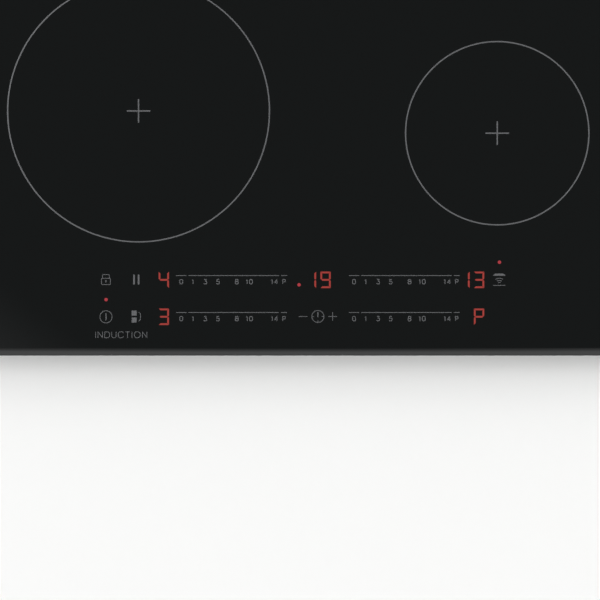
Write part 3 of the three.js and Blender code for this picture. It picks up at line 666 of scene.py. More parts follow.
# Each line of a sign, in a box from -1 to 1: whether it is closed, its corners, and how far each corner is
# eased, in millimetres.
GLYPHS = {
    "0": [(True, [(-1, -1), (1, -1), (1, 1), (-1, 1)], 1.15)],
    "1": [(False, [(-1, 0.58), (0.45, 1), (0.45, -1)], 0.0)],
    "3": [(False, [(-0.9, 1), (0.85, 1), (-0.1, 0.22), (1, 0.12), (1, -1), (-1, -1), (-1, -0.62)],
           [0, 0.1, 0.1, 0.7, 1.0, 0.7, 0])],
    "4": [(False, [(0.5, -1), (0.5, 1), (-1, -0.42), (1, -0.42)], 0.05)],
    "5": [(False, [(0.85, 1), (-0.75, 1), (-0.88, 0.08), (1, 0.25), (1, -1), (-1, -1), (-1, -0.66)],
           [0, 0.1, 0.3, 0.9, 1.0, 0.7, 0])],
    "8": [(True, [(-0.86, 0.08), (0.86, 0.08), (0.86, 1), (-0.86, 1)], 0.7),
          (True, [(-1, -1), (1, -1), (1, 0.08), (-1, 0.08)], 0.8)],
    "P": [(False, [(-1, -1), (-1, 1), (1, 1), (1, -0.12), (-1, -0.12)], [0, 0.1, 0.8, 0.8, 0])],
    "I": [(False, [(0, -1), (0, 1)], 0.0)],
    "N": [(False, [(-1, -1), (-1, 1), (1, -1), (1, 1)], 0.05)],
    "D": [(True, [(-1, -1), (1, -1), (1, 1), (-1, 1)], [0.1, 2.0, 2.0, 0.1])],
    "U": [(False, [(-1, 1), (-1, -1), (1, -1), (1, 1)], [0, 1.8, 1.8, 0])],
    "C": [(False, [(1, 0.55), (0.8, 1), (-1, 1), (-1, -1), (0.8, -1), (1, -0.55)],
           [0, 1.2, 2.1, 2.1, 1.2, 0])],
    "T": [(False, [(-1, 1), (1, 1)], 0.0), (False, [(0, 1), (0, -1)], 0.0)],
    "O": [(True, [(-1, -1), (1, -1), (1, 1), (-1, 1)], 2.4)],
}
# Outer width of each numeral and letter, as a share of its height.
WIDTHS = {"0": 0.71, "1": 0.4, "3": 0.66, "4": 0.75, "5": 0.66, "8": 0.7, "P": 0.64, "I": 0.12, "N": 0.77,
          "D": 0.83, "U": 0.76, "C": 0.85, "T": 0.72, "O": 1.0}


def glyph(sign, x, y, height, stroke):
    """One numeral or letter about its centre, as printed lines of even width."""
    half = np.array([max(WIDTHS[sign] * height - stroke, 0.0) / 2, (height - stroke) / 2])
    skins = []
    for closed, corners, cut in GLYPHS[sign]:
        path = np.array(corners) * half
        if len(path) > 2:
            path = eased(path, cut, closed)
        skins.append(line(path + (x, y), stroke, closed))
    return skins


def number(text, x, y, height, stroke, gap=0.22):
    """A row of numerals centred on x."""
    widths = np.array([WIDTHS[sign] * height for sign in text])
    starts = np.cumsum(widths + gap * height) - widths - gap * height
    centres = x - (widths.sum() + gap * height * (len(text) - 1)) / 2 + starts + widths / 2
    return [skin for sign, cx in zip(text, centres) for skin in glyph(sign, cx, y, height, stroke)]


def cross(x, y, reach, stroke):
    """Two lines that cross in their middles."""
    return [
        line([(x - reach, y), (x + reach, y)], stroke),
        line([(x, y - reach), (x, y + reach)], stroke),
    ]


def rectangle(x, y, width, height):
    """A filled printed rectangle about its centre."""
    corners = np.array([(-1, -1), (1, -1), (1, 1), (-1, 1)]) * (width / 2, height / 2)
    return slab(corners + (x, y), PRINT_LOW, PRINT_TOP)


class COOKTOP_OT_sliders(bpy.types.Operator):
    """Four slider lines with their level numerals"""

    bl_idname = "cooktop.sliders"
    bl_label = "Slider Prints"

    starts = (-108.3, 23.68)
    line_rise = 3.06
    number_drop = 1.62
    # Where each dash of a line starts and ends, for a line of the length that is set at first.
    dashes = ((0.0, 7.9), (9.4, 78.5), (80.2, 84.6))
    first_level = 12.75

    def execute(self, context):
        sizes = context.scene.cooktop.sizes
        share = sizes.slider / MM / self.dashes[-1][1]
        lines, numbers = [], []
        for start in self.starts:
            for y in ROWS.values():
                for ends in self.dashes:
                    path = [(start + end * share, y + self.line_rise) for end in ends]
                    lines.append(line(path, sizes.line / MM))
                for text, x in self.levels(sizes.level_pitch / MM):
                    numbers += number(
                        text, start + x, y - self.number_drop, sizes.numeral / MM, sizes.numeral_stroke / MM
                    )
        piece("slider_lines", lines, "black_glass", finish="print")
        piece("slider_numerals", stepped(numbers), "black_glass", finish="print")
        return {"FINISHED"}

    def levels(self, pitch):
        """Each level's text and its distance from the start of the slider: first + pitch (level - 1)."""
        marked = [(str(level), self.first_level + pitch * (level - 1)) for level in (1, 3, 5, 8, 10, 14)]
        return [("0", 3.9), *marked, ("P", 82.4)]


class COOKTOP_OT_signs(bpy.types.Operator):
    """Printed touch signs: lock, pause, power, bridge, timer, minus, plus and hood"""

    bl_idname = "cooktop.signs"
    bl_label = "Touch Signs"

    def execute(self, context):
        stroke = context.scene.cooktop.sizes.icon_stroke / MM
        low, high = ROWS["lower"], ROWS["upper"]
        signs = {
            "sign_lock": self.lock(-161.9, high, stroke),
            "sign_pause": [rectangle(-138.7 + dx, high, 1.3, 7.4) for dx in (-1.73, 1.73)],
            "sign_power": self.power(-161.85, low - 0.24, stroke),
            "sign_bridge": self.bridge(-140.35, low, stroke),
            "sign_timer": self.clock(0.0, low, stroke),
            "sign_minus": [line([(-14.57, low), (-8.03, low)], stroke)],
            "sign_plus": cross(11.3, low, 3.25, stroke),
            "sign_hood": self.hood(138.55, high, stroke),
            "word_induction": self.word("INDUCTION", -170.05, low - 13.95, 5.0, stroke * 0.95),
        }
        for name, skins in signs.items():
            piece(name, stepped(skins), "black_glass", finish="print")
        return {"FINISHED"}

    def lock(self, x, y, stroke):
        """A body with eased corners, a shackle of three sides above it, and a keyhole."""
        body = eased([(-3.41, -3.81), (3.41, -3.81), (3.41, 0.94), (-3.41, 0.94)], 0.7, True) + (x, y)
        hoop = [(-2.68, 0.95), (-2.68, 3.87), (2.68, 3.87), (2.68, 0.95)]
        shackle = eased(hoop, [0, 1.1, 1.1, 0]) + (x, y)
        keyhole = slab(circle(x, y - 0.95, 0.62, 24), PRINT_LOW, PRINT_TOP)
        slot = line([(x, y - 1.2), (x, y - 2.3)], 0.55)
        return [line(body, stroke, True), line(shackle, stroke), keyhole, slot]

    def power(self, x, y, stroke):
        """A ring with an upright bar in it."""
        return [line(circle(x, y, 4.65), stroke, True), rectangle(x, y, 0.7, 5.6)]

    def bridge(self, x, y, stroke):
        """Two squares, one above the other, and a bracket that ties them together."""
        bracket = eased([(3.4, 3.3), (4.8, 2.5), (4.8, -2.7), (3.4, -3.5)], [0, 1.6, 1.6, 0]) + (x, y)
        return [rectangle(x, y + 2.62, 3.8, 3.85), rectangle(x, y - 2.68, 3.8, 3.85), line(bracket, stroke)]

    def clock(self, x, y, stroke):
        """A ring with one hand and three ticks."""
        ticks = [[(x - 4.3, y), (x - 2.9, y)], [(x + 2.9, y), (x + 4.3, y)], [(x, y - 4.3), (x, y - 2.9)]]
        return [line(circle(x, y, 4.6), stroke, True), rectangle(x, y + 1.5, 0.7, 3.7),
                *[line(tick, stroke) for tick in ticks]]

    def hood(self, x, y, stroke):
        """A hood seen from the front, three arcs of air below it, and the cooktop's line."""
        sides = [(4.6, 2.95), (4.6, 3.5), (2.9, 4.6)]
        cap = [(x + dx, y + dy) for dx, dy in sides] + [(x - dx, y + dy) for dx, dy in reversed(sides)]
        waves = [line(arc(x, y - 3.87, r, 55, 125, 20), stroke) for r in (4.9, 3.2, 1.75)]
        base = line([(x - 4.6, y - 4.45), (x + 4.6, y - 4.45)], stroke)
        return [slab(np.array(cap), PRINT_LOW, PRINT_TOP), *waves, base]

    def word(self, text, x, y, height, stroke):
        """Spaced capitals, from the left edge x."""
        skins = []
        for sign in text:
            width = WIDTHS[sign] * height
            skins += glyph(sign, x + width / 2, y, height, stroke)
            x += width + 0.249 * height
        return skins


class COOKTOP_OT_zones(bpy.types.Operator):
    """Printed rings and centre crosses of the four cooking zones"""

    bl_idname = "cooktop.zones"
    bl_label = "Zone Prints"

    # How far the ring lies outside its zone, and half the length of the cross's lines.
    ring_gap, reach = 4.0, 9

    def execute(self, context):
        width = context.scene.cooktop.sizes.zone_line / MM
        for name, (x, y, radius) in ZONES.items():
            ring = line(circle(x, y, radius + self.ring_gap, 192), width, True)
            skins = stepped([ring, *cross(x, y, self.reach, width)])
            piece(f"zone_print_{name}", skins, "black_glass", finish="print")
        return {"FINISHED"}


# ------------------------------------------------------------------ displays

# Which of the seven segments light for each sign: a to g, clockwise from the top, g in the middle.
LIT = {"1": "bc", "3": "abcdg", "4": "bcfg", "9": "abcdfg", "P": "abefg"}


class COOKTOP_OT_displays(bpy.types.Operator):
    """Lit seven-segment numerals and lamps under the glass"""

    bl_idname = "cooktop.displays"
    bl_label = "Displays"

    digits = {
        "digits_left": [("4", -117.7, "upper"), ("3", -117.7, "lower")],
        "digits_timer": [("1", -5.3, "upper"), ("9", 5.85, "upper")],
        "digits_right": [("1", 112.0, "upper"), ("3", 123.1, "upper"), ("P", 123.1, "lower")],
    }
    lamps = {"lamp_power": (-161.8, -217.1), "lamp_timer": (-14.4, -205.8), "lamp_hood": (138.7, -188.5)}

    def execute(self, context):
        sizes = context.scene.cooktop.sizes
        for name, signs in self.digits.items():
            skins = [skin for sign, x, row in signs for skin in self.digit(sign, x, ROWS[row] - 0.2, sizes)]
            piece(name, skins, "display_red", finish="lit")
        for name, (x, y) in self.lamps.items():
            dot = slab(circle(x, y, sizes.lamp / MM / 2, 40), PRINT_LOW, PRINT_TOP)
            piece(name, [dot], "display_red", finish="lamp")
        return {"FINISHED"}

    def digit(self, sign, x, y, sizes):
        """The lit segments of one digit about its centre."""
        w, h = sizes.digit_width / MM / 2, sizes.digit_height / MM / 2
        corner = {"a": (-w, h), "b": (w, h), "c": (w, -h), "d": (w, -h), "e": (-w, -h), "f": (-w, h)}
        end = {"a": (w, h), "b": (w, 0), "c": (w, 0), "d": (-w, -h), "e": (-w, 0), "f": (-w, 0)}
        t = sizes.segment / MM
        skins = []
        for k in LIT[sign]:
            if k == "g":
                shape = self.middle(w, t)
            else:
                shape = self.side(np.array(corner[k], float), np.array(end[k], float), t, k in "ad")
            skins.append(slab(shape + (x, y), PRINT_LOW, PRINT_TOP))
        return skins

    def side(self, start, stop, t, crosses, gap=0.14):
        """An outer segment: one edge runs along the digit's outline, and its ends are cut at 45 degrees.

        Where it meets the middle segment, the cut takes only half of its width on each side.
        """
        reach = np.linalg.norm(stop - start)
        along = (stop - start) / reach
        inward = np.array([-along[1], along[0]])
        inward *= -np.sign(inward @ (start + stop))
        if crosses:
            ends = [(gap, 0), (reach - gap, 0), (reach - t - gap, t), (t + gap, t)]
        else:
            tip = reach - gap
            ends = [(gap, 0), (tip - t / 2, 0), (tip, t / 2), (tip - t / 2, t), (t + gap, t)]
        return np.array([start + along * u + inward * v for u, v in ends])

    def middle(self, w, t, gap=0.14):
        """The middle segment: a long hexagon whose points lie between the side segments."""
        tip, shoulder, h = w - t / 2 - gap, w - t - gap, t / 2
        upper = [(-tip, 0), (-shoulder, h), (shoulder, h)]
        return np.array([*upper, (tip, 0), (shoulder, -h), (-shoulder, -h)])


# ------------------------------------------------------------------ casing

def screw(x, y, z, facing, radius=3.4, height=1.3):
    """A pan-head screw on a wall: its height is h sqrt(1 - 0.8 (r/R)^2), less a cross-shaped recess."""
    r = np.array([1.0, 1.0, 0.93, 0.8, 0.62, 0.5, 0.36, 0.2, 0.06]) * radius
    a = np.linspace(0, 2 * np.pi, 32, endpoint=False)
    px, py = r[:, None] * np.cos(a), r[:, None] * np.sin(a)
    dome = height * np.sqrt(1 - 0.8 * (r / radius) ** 2)[:, None] * np.ones_like(px)
    dome[0] = 0.0
    arm = np.minimum(np.abs(px), np.abs(py)) < 0.13 * radius
    inside = np.hypot(px, py) < 0.63 * radius
    dome = np.where(arm & inside, dome - 0.55 * height, dome)
    return moved(shell(np.stack([px, py, dome], -1)), FACING[facing], (x, y, z))


def bead(x, y, z, long_x, long_y, width, rise):
    """A pressed stiffening rib below the floor: a capsule outline whose edge falls as a quarter round."""
    turn = np.radians(np.linspace(0, 90, 6))
    rings = [
        at_height(outline(long_x - 2 * i, long_y - 2 * i, width / 2 - i - 0.01, x, y, 10), z - h)
        for i, h in zip(rise * (1 - np.cos(turn)), rise * np.sin(turn))
    ]
    return shell(rings)


class COOKTOP_OT_casing(bpy.types.Operator):
    """Sheet-steel casing with pressed ribs, its rails and its screws"""

    bl_idname = "cooktop.casing"
    bl_label = "Casing"

    def execute(self, context):
        refined("steel_casing", "casing", 0.25, "sheet_steel")
        for rail in ("rail_left", "rail_right", "rail_rear"):
            refined(f"angle_{rail}", rail, 0.2, "sheet_steel")
        piece("pressed_ribs", self.ribs(), "sheet_steel")
        piece("casing_screws", self.screws(), "spring_steel")
        return {"FINISHED"}

    def ribs(self):
        """Two ribs across and two along in the floor of each side."""
        width, rise = 9.0, 1.1
        ribs = []
        for side in SIDES.values():
            ribs += [bead(side * 133.5, y, CASE_UNDER, 190.0, width, width, rise) for y in (-180.0, 205.0)]
            ribs += [bead(side * x, -60.0, CASE_UNDER, width, 170.0, width, rise) for x in (60.0, 205.0)]
        return ribs

    def screws(self):
        """Screws through the walls into the rails, and through the floor into the trays and blowers."""
        wall_z = 37.5
        skins = []
        for facing, side in SIDES.items():
            skins += [screw(side * CASE_X, y, wall_z, facing) for y in (-190.0, -60.0, 60.0, 190.0)]
            skins += [screw(side * x, y, CASE_UNDER, "down") for x in (30.0, 244.0) for y in (-142.0, 54.0)]
        skins += [screw(x, CASE_Y, wall_z + 1, "rear") for x in (-225.0, -75.0, 75.0)]
        skins += [screw(x, -CASE_Y, wall_z + 1, "front") for x in (-240.0, 240.0)]
        blower_y, reach, small = 135, 44, 2.8
        for x in (-128.0, 162.0):
            for a in (math.pi / 4, math.pi * 0.92, math.pi * 1.58):
                px, py = x + reach * math.cos(a), blower_y + reach * math.sin(a)
                skins.append(screw(px, py, CASE_UNDER, "down", small))
        return skins


class COOKTOP_OT_clips(bpy.types.Operator):
    """Sprung side clips that hold the cooktop in the worktop"""

    bl_idname = "cooktop.clips"
    bl_label = "Side Clips"

    width, sheet, roll = 22.0, 0.8, 1.3
    pivot = (276.6, 40.8)
    leaf = ((276.8, 40.8), (277.6, 33.8), (282.2, 24.0), (283.0, 19.0), (282.0, 14.0), (281.0, 10.0))

    def execute(self, context):
        for side, sign in SIDES.items():
            for end, y in (("front", -128.0), ("rear", 128.0)):
                name = f"clip_{end}_{side}"
                piece(f"sprung_{name}", self.clip(sign, y), "spring_steel", body=name, replaces=[name])
        return {"FINISHED"}

    def clip(self, sign, y):
        """The leaf is its eased side view carried across the width, and its rolled top is a round bar."""
        path = eased(self.leaf, [0, 2.5, 4.0, 3.0, 3.0, 0])
        left, right = sides_of(path, self.sheet)
        half, margin = self.width / 2, self.sheet / 2
        spans = (-half, margin - half, half - margin, half)
        leaf = self.across(np.vstack([left, right[::-1]]), sign, [y + s for s in spans])
        roll = self.across(circle(*self.pivot, self.roll, 20), sign, [y - half, y + half])
        return [leaf, roll]

    def across(self, side_view, sign, places):
        """A skin through the same side view, drawn in X and Z, at several places along Y."""
        x, z = side_view.T
        return shell([np.column_stack([x * sign, np.full(len(x), y), z]) for y in places])


# ------------------------------------------------------------------ mains connection

class COOKTOP_OT_mains(bpy.types.Operator):
    """Mains box at the rear with its hinged flap, terminals and grommet"""

    bl_idname = "cooktop.mains"
    bl_label = "Mains Box"

    def execute(self, context):
        refined("mains_box", "terminal_box", 0.35, "white_plastic")
        refined("mains_flap", "terminal_flap", 0.3, "white_plastic")
        refined("mains_terminals", "terminal_block", 0.25, "black_plastic")
        piece("flap_ribs", self.ribs(), "white_plastic", body="terminal_flap")
        piece("terminal_screws", self.terminal_screws(), "spring_steel")
        piece("rubber_grommet", [self.grommet()], "seal_rubber", replaces=["cable_grommet"], crease=50.0)
        return {"FINISHED"}

    def ribs(self):
        """Grip ribs along the flap's upper edge."""
        return [
            moved(slab(outline(26.0, 0.9, 0.44, 0, 0, 5), 0, 0.5), FACING["rear"], (190, 242.3, z))
            for z in (26.0, 28.0, 30.0)
        ]

    def terminal_screws(self):
        """One clamping screw in each bay of the terminal block."""
        return [screw(167.5 + 9.8 * i, 211.0, 17.9, "up", 2.6, 1.1) for i in range(6)]

    def grommet(self):
        """A turned rubber ring with a groove for the wall and a soft outer lip, its axis to the rear."""
        profile = [(5.6, -3.3), (9.5, -3.3), (9.5, -1.3), (7.7, -1.3), (7.7, 0.3), (10.5, 0.3), (10.5, 1.0),
                   (10.2, 1.7), (9.4, 2.2), (8.2, 2.3), (6.4, 2.3), (5.8, 2.0), (5.6, 1.4)]
        return moved(turned(profile, sides=64, loop=True), FACING["rear"], (131.0, CASE_Y, 17.0))


# ------------------------------------------------------------------ coils

class COOKTOP_OT_coils(bpy.types.Operator):
    """Flat spiral windings and their sensors"""

    bl_idname = "cooktop.coils"
    bl_label = "Coils"

    # Radius of the empty middle of a winding, and how far the winding ends inside its zone.
    eye, margin = 23.5, 5.5

    def execute(self, context):
        for name, (x, y, radius) in ZONES.items():
            body = f"coil_{name}"
            winding = [self.spiral(x, y, self.eye, radius - self.margin)]
            piece(f"spiral_winding_{name}", winding, "copper_winding", body, [f"coil_winding_{name}"], 60.0)
            piece(f"sensor_cap_{name}", [self.sensor(x, y)], "silicone", body, [f"coil_sensor_{name}"])
        return {"FINISHED"}

    def spiral(self, x, y, inner, outer, wire=2.7):
        """A round wire on a flat spiral whose radius grows evenly from inner to outer as it turns."""
        turns = int((outer - inner) / (wire + 0.12))
        a = np.linspace(0, 2 * np.pi * turns, 72 * turns)
        radius = np.linspace(inner, outer, len(a))
        section = np.linspace(0, 2 * np.pi, 8, endpoint=False)
        r = radius[:, None] + wire / 2 * np.cos(section)
        z = WINDING_MIDDLE + wire / 2 * np.sin(section) + np.zeros_like(r)
        return shell(np.stack([x + r * np.cos(a)[:, None], y + r * np.sin(a)[:, None], z], -1))

    def sensor(self, x, y):
        """A silicone cap: a wide foot, a soft shoulder and a domed tip."""
        foot = [(9.0, 38.7), (9.0, 40.8), (8.6, 41.3), (7.0, 41.9)]
        profile = [*foot, (5.6, 42.6), (5.0, 43.4), (5.0, 45.2), (4.6, 45.6), (3.6, 45.7)]
        return turned(profile, x, y, 48)


# ------------------------------------------------------------------ circuit boards

BOARD_TOP = 11.1
FILTER_TOP = 9.6
CONTROL_TOP = 36.1


def box(x, y, low, width, depth, height, ease=0.6):
    """A block about x and y whose upright edges and top edge are eased."""
    rings = [
        at_height(outline(width - 2 * i, depth - 2 * i, ease + 0.05, x, y, 4), low + z)
        for i, z in ((0.0, 0.0), (0.0, height - ease), (ease * 0.3, height - ease * 0.3), (ease, height))
    ]
    return shell(rings)


def can(x, y, low, radius, height, sides=32):
    """A round component with a rolled groove near its foot and an eased top edge."""
    profile = [(1.0, 0.0), (1.0, 0.1), (0.92, 0.14), (0.92, 0.17), (1.0, 0.21), (1.0, 0.95), (0.93, 1.0)]
    return turned([(radius * r, low + height * z) for r, z in profile], x, y, sides)


def ring_coil(x, y, middle, inner, outer, height, turns, wire):
    """The turns of a wire round a ring core, each one closed loop.

    The loop for the angle a is a rounded rectangle in the upright plane through the axis at that angle.
    """
    corner = min(3.0, wire * 1.6)
    section = outline(outer - inner + wire, height + wire, corner, (outer + inner) / 2, 0.0, 4)
    around = np.linspace(0, 2 * np.pi, 6, endpoint=False)
    step = np.roll(section, -1, 0) - np.roll(section, 1, 0)
    step /= np.linalg.norm(step, axis=1, keepdims=True)
    radial = section[:, :1] + wire / 2 * step[:, 1:] * np.cos(around)
    upright = section[:, 1:] - wire / 2 * step[:, :1] * np.cos(around) + middle
    aside = wire / 2 * np.sin(around) + np.zeros_like(radial)
    skins = []
    for a in np.linspace(0, 2 * np.pi, turns, endpoint=False):
        px = x + radial * np.cos(a) - aside * np.sin(a)
        py = y + radial * np.sin(a) + aside * np.cos(a)
        skins.append(shell(np.stack([px, py, upright], -1), loop=True))
    return skins


class COOKTOP_OT_boards(bpy.types.Operator):
    """Power, filter and control boards with their components"""

    bl_idname = "cooktop.boards"
    bl_label = "Boards"

    # Places on a power board: the distance from the cooktop's middle, y, and the sizes where they differ.
    films = [(52.0, y) for y in (-124.0, -86.0, -48.0, -10.0)]
    relays = [(190.0, 6.0), (190.0, 28.0), (214.0, 6.0)]
    switches = [(x, y) for x in (107.0, 183.0) for y in (-96.0, -56.0, -16.0, 24.0)]
    blades = [(88.0, 26.0), (96.0, 26.0), (232.0, -40.0), (232.0, -30.0), (232.0, -20.0)]
    cans = [
        *((x, -84.0, 8.0, 18.0) for x in (212.0, 232.0)),
        *((x, -62.0, 5.0, 12.0) for x in (206.0, 222.0)),
    ]
    plugs = [(80, 52, 22, 7), (120, 52, 14, 7), (238, 40, 7, 20), (198, -142, 18, 7)]
    chips = [(90.0, -98.0, 12.0, 12.0, 1.6), (88.0, -60.0, 8.0, 5.0, 1.5), (212.0, 50.0, 10.0, 6.0, 1.5)]

    def execute(self, context):
        for name, side in SIDES.items():
            board = slab(outline(230.0, 212.0, 3.0, side * 137.0, -44.0, 4), 9.5, BOARD_TOP)
            piece(f"bare_power_board_{name}", [board], "circuit_board", replaces=[f"power_board_{name}"])
            for kind, (skins, slot) in self.power_parts(side).items():
                piece(f"{kind}_{name}", skins, slot)
        self.filter()
        self.control()
        return {"FINISHED"}

    def power_parts(self, side):
        """What stands on a power board, by kind: its skins and its slot."""

        def boxes(places, *size):
            return [box(side * x, y, BOARD_TOP, *rest, *size) for x, y, *rest in places]

        ring = [(6.2, 12.6), (10.8, 12.6), (10.8, 24.6), (6.2, 24.6)]
        return {
            "film_capacitors": (boxes(self.films, 28, 20, 17, 1.0), "white_plastic"),
            "inductor_core": ([turned(ring, side * 230, -120, 32, loop=True)], "ferrite"),
            "inductor_wire": (ring_coil(side * 230, -120, 18.6, 6.5, 11, 12, 26, 1.4), "copper_winding"),
            "relays": (boxes(self.relays, 19, 15.5, 15.5, 0.8), "black_plastic"),
            "can_capacitors": ([can(side * x, y, BOARD_TOP, r, h) for x, y, r, h in self.cans],
                               "aluminium_sheet"),
            "board_plugs": (boxes(self.plugs, 9, 0.4), "white_plastic"),
            "blade_contacts": (boxes(self.blades, 6.3, 0.8, 11, 0.2), "spring_steel"),
            "power_switches": (boxes(self.switches, 10, 15.6, 4.6, 0.3), "black_plastic"),
            "board_chips": (boxes(self.small_parts() + self.chips, 0.2), "black_plastic"),
        }

    def small_parts(self):
        """Rows and columns of tiny components in three fields: x, y, width, depth and height of each."""
        return [
            (x + dx * i, y + dy * j, *size)
            for x, y, columns, rows, dx, dy, size in (
                (82.0, -138.0, 5, 3, 8.0, 9.0, (3.2, 1.6, 0.9)),
                (76.0, -20.0, 3, 6, 9.0, 7.0, (2.0, 1.2, 0.8)),
                (206.0, -46.0, 3, 5, 9.0, 8.0, (3.2, 1.6, 0.9)),
            )
            for i in range(columns) for j in range(rows)
        ]

    def filter(self):
        """A choke whose two windings leave gaps on its ring, a fuse, a varistor and two small capacitors."""
        ring = turned([(7.0, 12.1), (11.0, 12.1), (11.0, 23.7), (7.0, 23.7)], -16, 219, 40, loop=True)
        turns = ring_coil(-16, 219, 17.9, 7.2, 10.8, 11.2, 24, 1.5)
        wound = turns[1:11] + turns[13:23]
        piece("choke_core", [ring], "ferrite")
        piece("choke_wire", wound, "copper_winding", replaces=["mains_choke"])
        parts = [box(86, 212, FILTER_TOP, 20, 9, 8, 0.8), box(84, 226, FILTER_TOP, 14, 5, 12, 1.5)]
        piece("filter_fuse_and_varistor", parts, "former_plastic")
        coats = [box(12, y, FILTER_TOP, 7, 5, 9, 1.5) for y in (211.0, 226.0)]
        piece("filter_safety_capacitors", coats, "silicone")

    def control(self):
        """Spring contacts that reach up to the glass under each touch field, and the chips between them."""
        first, pitch = 12.75, 9.6
        fields = [start + first + pitch * i for start in (-108.3, 23.8) for i in range(8)]
        touch = [(x, y) for x in fields + [-161.9, -140.0, 138.5] for y in ROWS.values()]
        touch.append((0.0, ROWS["lower"]))
        profile = [(3.6, CONTROL_TOP), (3.6, 36.6), (1.6, 38.0), (1.6, 43.6), (3.4, 45.0), (3.4, 45.6)]
        pads = [turned(profile, x, y, 20) for x, y in touch]
        piece("touch_springs", pads, "spring_steel")
        chips = [box(x, -215.8, CONTROL_TOP, 8, 8, 1.4, 0.2) for x in (-92.0, -30.0, 34.0, 96.0)]
        chips += [box(-165.0 + 7.5 * i, -188.5, CONTROL_TOP, 3.2, 1.6, 0.9, 0.2) for i in range(42)]
        piece("control_chips", chips, "black_plastic")


# ------------------------------------------------------------------ plain frame solids

class COOKTOP_OT_inner(bpy.types.Operator):
    """Eased inner plastic and metal parts, and a finish for every frame solid that still shows"""

    bl_idname = "cooktop.inner"
    bl_label = "Inner Parts"

    eased_nodes = {
        "board_tray_left": 0.4, "board_tray_right": 0.4, "fan_housing_left": 0.5, "fan_housing_right": 0.5,
        "control_holder": 0.3, "filter_capacitor": 0.8, "heat_sink_left": 0.25, "heat_sink_right": 0.25,
        "coil_plate_left": 0.3, "coil_plate_right": 0.3,
    }

    def execute(self, context):
        slots = {s["node"]: s["material_slot"] for s in frame["record"]["subparts"]}
        for node, width in self.eased_nodes.items():
            refined(f"eased_{node}", node, width, slots[node])
        for node, obj in frame["nodes"].items():
            obj.data.materials.clear()
            obj.data.materials.append(finish_of(slots[node]))
        return {"FINISHED"}


# ------------------------------------------------------------------ stage

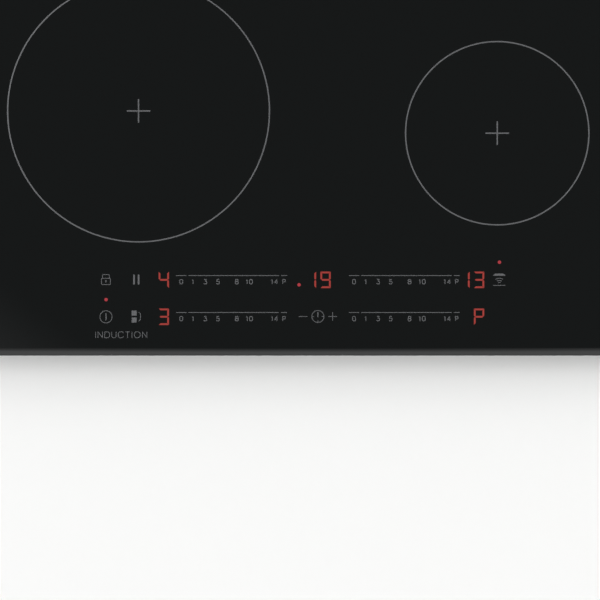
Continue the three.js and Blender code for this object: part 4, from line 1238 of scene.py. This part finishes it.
class COOKTOP_OT_stage(bpy.types.Operator):
    """Pale floor, light tent, soft lights and the camera"""

    bl_idname = "cooktop.stage"
    bl_label = "Stage"

    # Azimuth and elevation of each soft light in the tent, in degrees.
    soft_lights = {"key": (157.0, 62.0), "fill": (-22.0, 62.0)}
    # Where a patch ends and where it is at full brightness, in degrees from its middle.
    patch_edge, patch_core = 12, 5

    def execute(self, context):
        studio = context.scene.cooktop.studio
        self.floor(studio)
        self.tent(context.scene, studio)
        self.camera(context.scene, studio)
        context.scene.view_settings.view_transform = "Standard"
        return {"FINISHED"}

    def floor(self, studio):
        """A wide flat sheet just below the cooktop."""
        half = 30.0
        corners = [(-half, -half, 0), (half, -half, 0), (half, half, 0), (-half, half, 0)]
        mesh = bpy.data.meshes.new("Studio floor")
        mesh.from_pydata(corners, [], [(0, 1, 2, 3)])
        pale = surface(
            "Pale floor", "Moulded Grain", tuple(studio.floor), 0.985, 0.02, 0.05, Smooth=0.7, Rough=0.9
        )
        mesh.materials.append(pale)
        obj = bpy.data.objects.new("Studio floor", mesh)
        bpy.context.scene.collection.objects.link(obj)
        obj.location.z = -0.0002

    def tent(self, scene, studio):
        """Soft light from all sides, dim low down and straight above, with two small bright patches.

        A patch falls off smoothly with the cosine between the direction and the patch's middle.
        """
        world = bpy.data.worlds.new("Light tent")
        world.use_nodes = True
        scene.world = world
        tree = world.node_tree
        source = add(tree, "TexCoord").outputs["Generated"]
        parts = add(tree, "SeparateXYZ", {"Vector": source})
        ramp = add(tree, "ValToRGB", {"Fac": parts.outputs["Z"]})
        low, high = studio.low_tent, studio.high_tent
        slope = [(0.17, low), (0.57, low * 1.2), (0.77, high), (0.87, high)]
        stops = [(0.05, studio.horizon), *slope, (0.96, studio.roof)]
        while len(ramp.color_ramp.elements) < len(stops):
            ramp.color_ramp.elements.new(0.5)
        for element, (place, value) in zip(ramp.color_ramp.elements, stops):
            element.position = place
            element.color = (value, value, value, 1.0)
        total = ramp.outputs["Color"]
        for kind, (azimuth, elevation) in self.soft_lights.items():
            total = self.patch(tree, source, total, azimuth, elevation, getattr(studio, kind))
        tree.nodes["Background"].inputs["Color"].default_value = (1.0, 1.0, 1.0, 1.0)
        tree.links.new(total, tree.nodes["Background"].inputs["Strength"])

    def patch(self, tree, source, total, azimuth, elevation, strength):
        """Adds one soft-edged patch of light to the tent's brightness."""
        a, e = math.radians(azimuth), math.radians(elevation)
        middle = (math.cos(a) * math.cos(e), math.sin(a) * math.cos(e), math.sin(e))
        cosine = add(tree, "VectorMath", {0: source}, operation="DOT_PRODUCT")
        cosine.inputs[1].default_value = middle
        falloff = add(tree, "MapRange", {"Value": cosine.outputs["Value"]}, interpolation_type="SMOOTHSTEP")
        falloff.inputs["From Min"].default_value = math.cos(math.radians(self.patch_edge))
        falloff.inputs["From Max"].default_value = math.cos(math.radians(self.patch_core))
        falloff.inputs["To Max"].default_value = strength
        both = add(tree, "Math", {0: total, 1: falloff.outputs["Result"]}, operation="ADD")
        return both.outputs[0]

    def camera(self, scene, studio):
        """A camera straight above the control strip, high enough to see the given width of glass."""
        data = bpy.data.cameras.new("Camera")
        data.lens = studio.lens
        obj = bpy.data.objects.new("Camera", data)
        height = studio.view_width * data.lens / data.sensor_width
        obj.location = (studio.view_x, studio.view_y, PRINT_TOP * MM + height)
        scene.collection.objects.link(obj)
        scene.camera = obj


# ------------------------------------------------------------------ panel and registration

OPERATORS = (
    COOKTOP_OT_glass, COOKTOP_OT_sliders, COOKTOP_OT_signs, COOKTOP_OT_zones, COOKTOP_OT_displays,
    COOKTOP_OT_casing, COOKTOP_OT_clips, COOKTOP_OT_mains, COOKTOP_OT_coils, COOKTOP_OT_boards,
    COOKTOP_OT_inner, COOKTOP_OT_stage,
)


class COOKTOP_PT_parts(bpy.types.Panel):
    """Lists the cooktop's operators and settings"""

    bl_idname = "COOKTOP_PT_parts"
    bl_label = "Induction Cooktop"
    bl_space_type = "VIEW_3D"
    bl_region_type = "UI"
    bl_category = "Cooktop"

    def draw(self, context):
        for operator in OPERATORS:
            self.layout.operator(operator.bl_idname)
        settings = context.scene.cooktop
        for group in (settings.sizes, settings.colours, settings.studio):
            part = self.layout.box()
            for key in group.__annotations__:
                part.prop(group, key)


CLASSES = (CooktopSizes, CooktopColours, CooktopStudio, CooktopSettings, *OPERATORS, COOKTOP_PT_parts)


def register():
    for cls in CLASSES:
        bpy.utils.register_class(cls)
    bpy.types.Scene.cooktop = PointerProperty(
        type=CooktopSettings, name="Cooktop", description="Settings of the induction cooktop"
    )


def unregister():
    del bpy.types.Scene.cooktop
    for cls in reversed(CLASSES):
        bpy.utils.unregister_class(cls)


def main():
    """Builds every piece and the stage."""
    register()
    for operator in OPERATORS:
        group, name = operator.bl_idname.split(".")
        getattr(getattr(bpy.ops, group), name)()


if __name__ == "__main__":
    main()
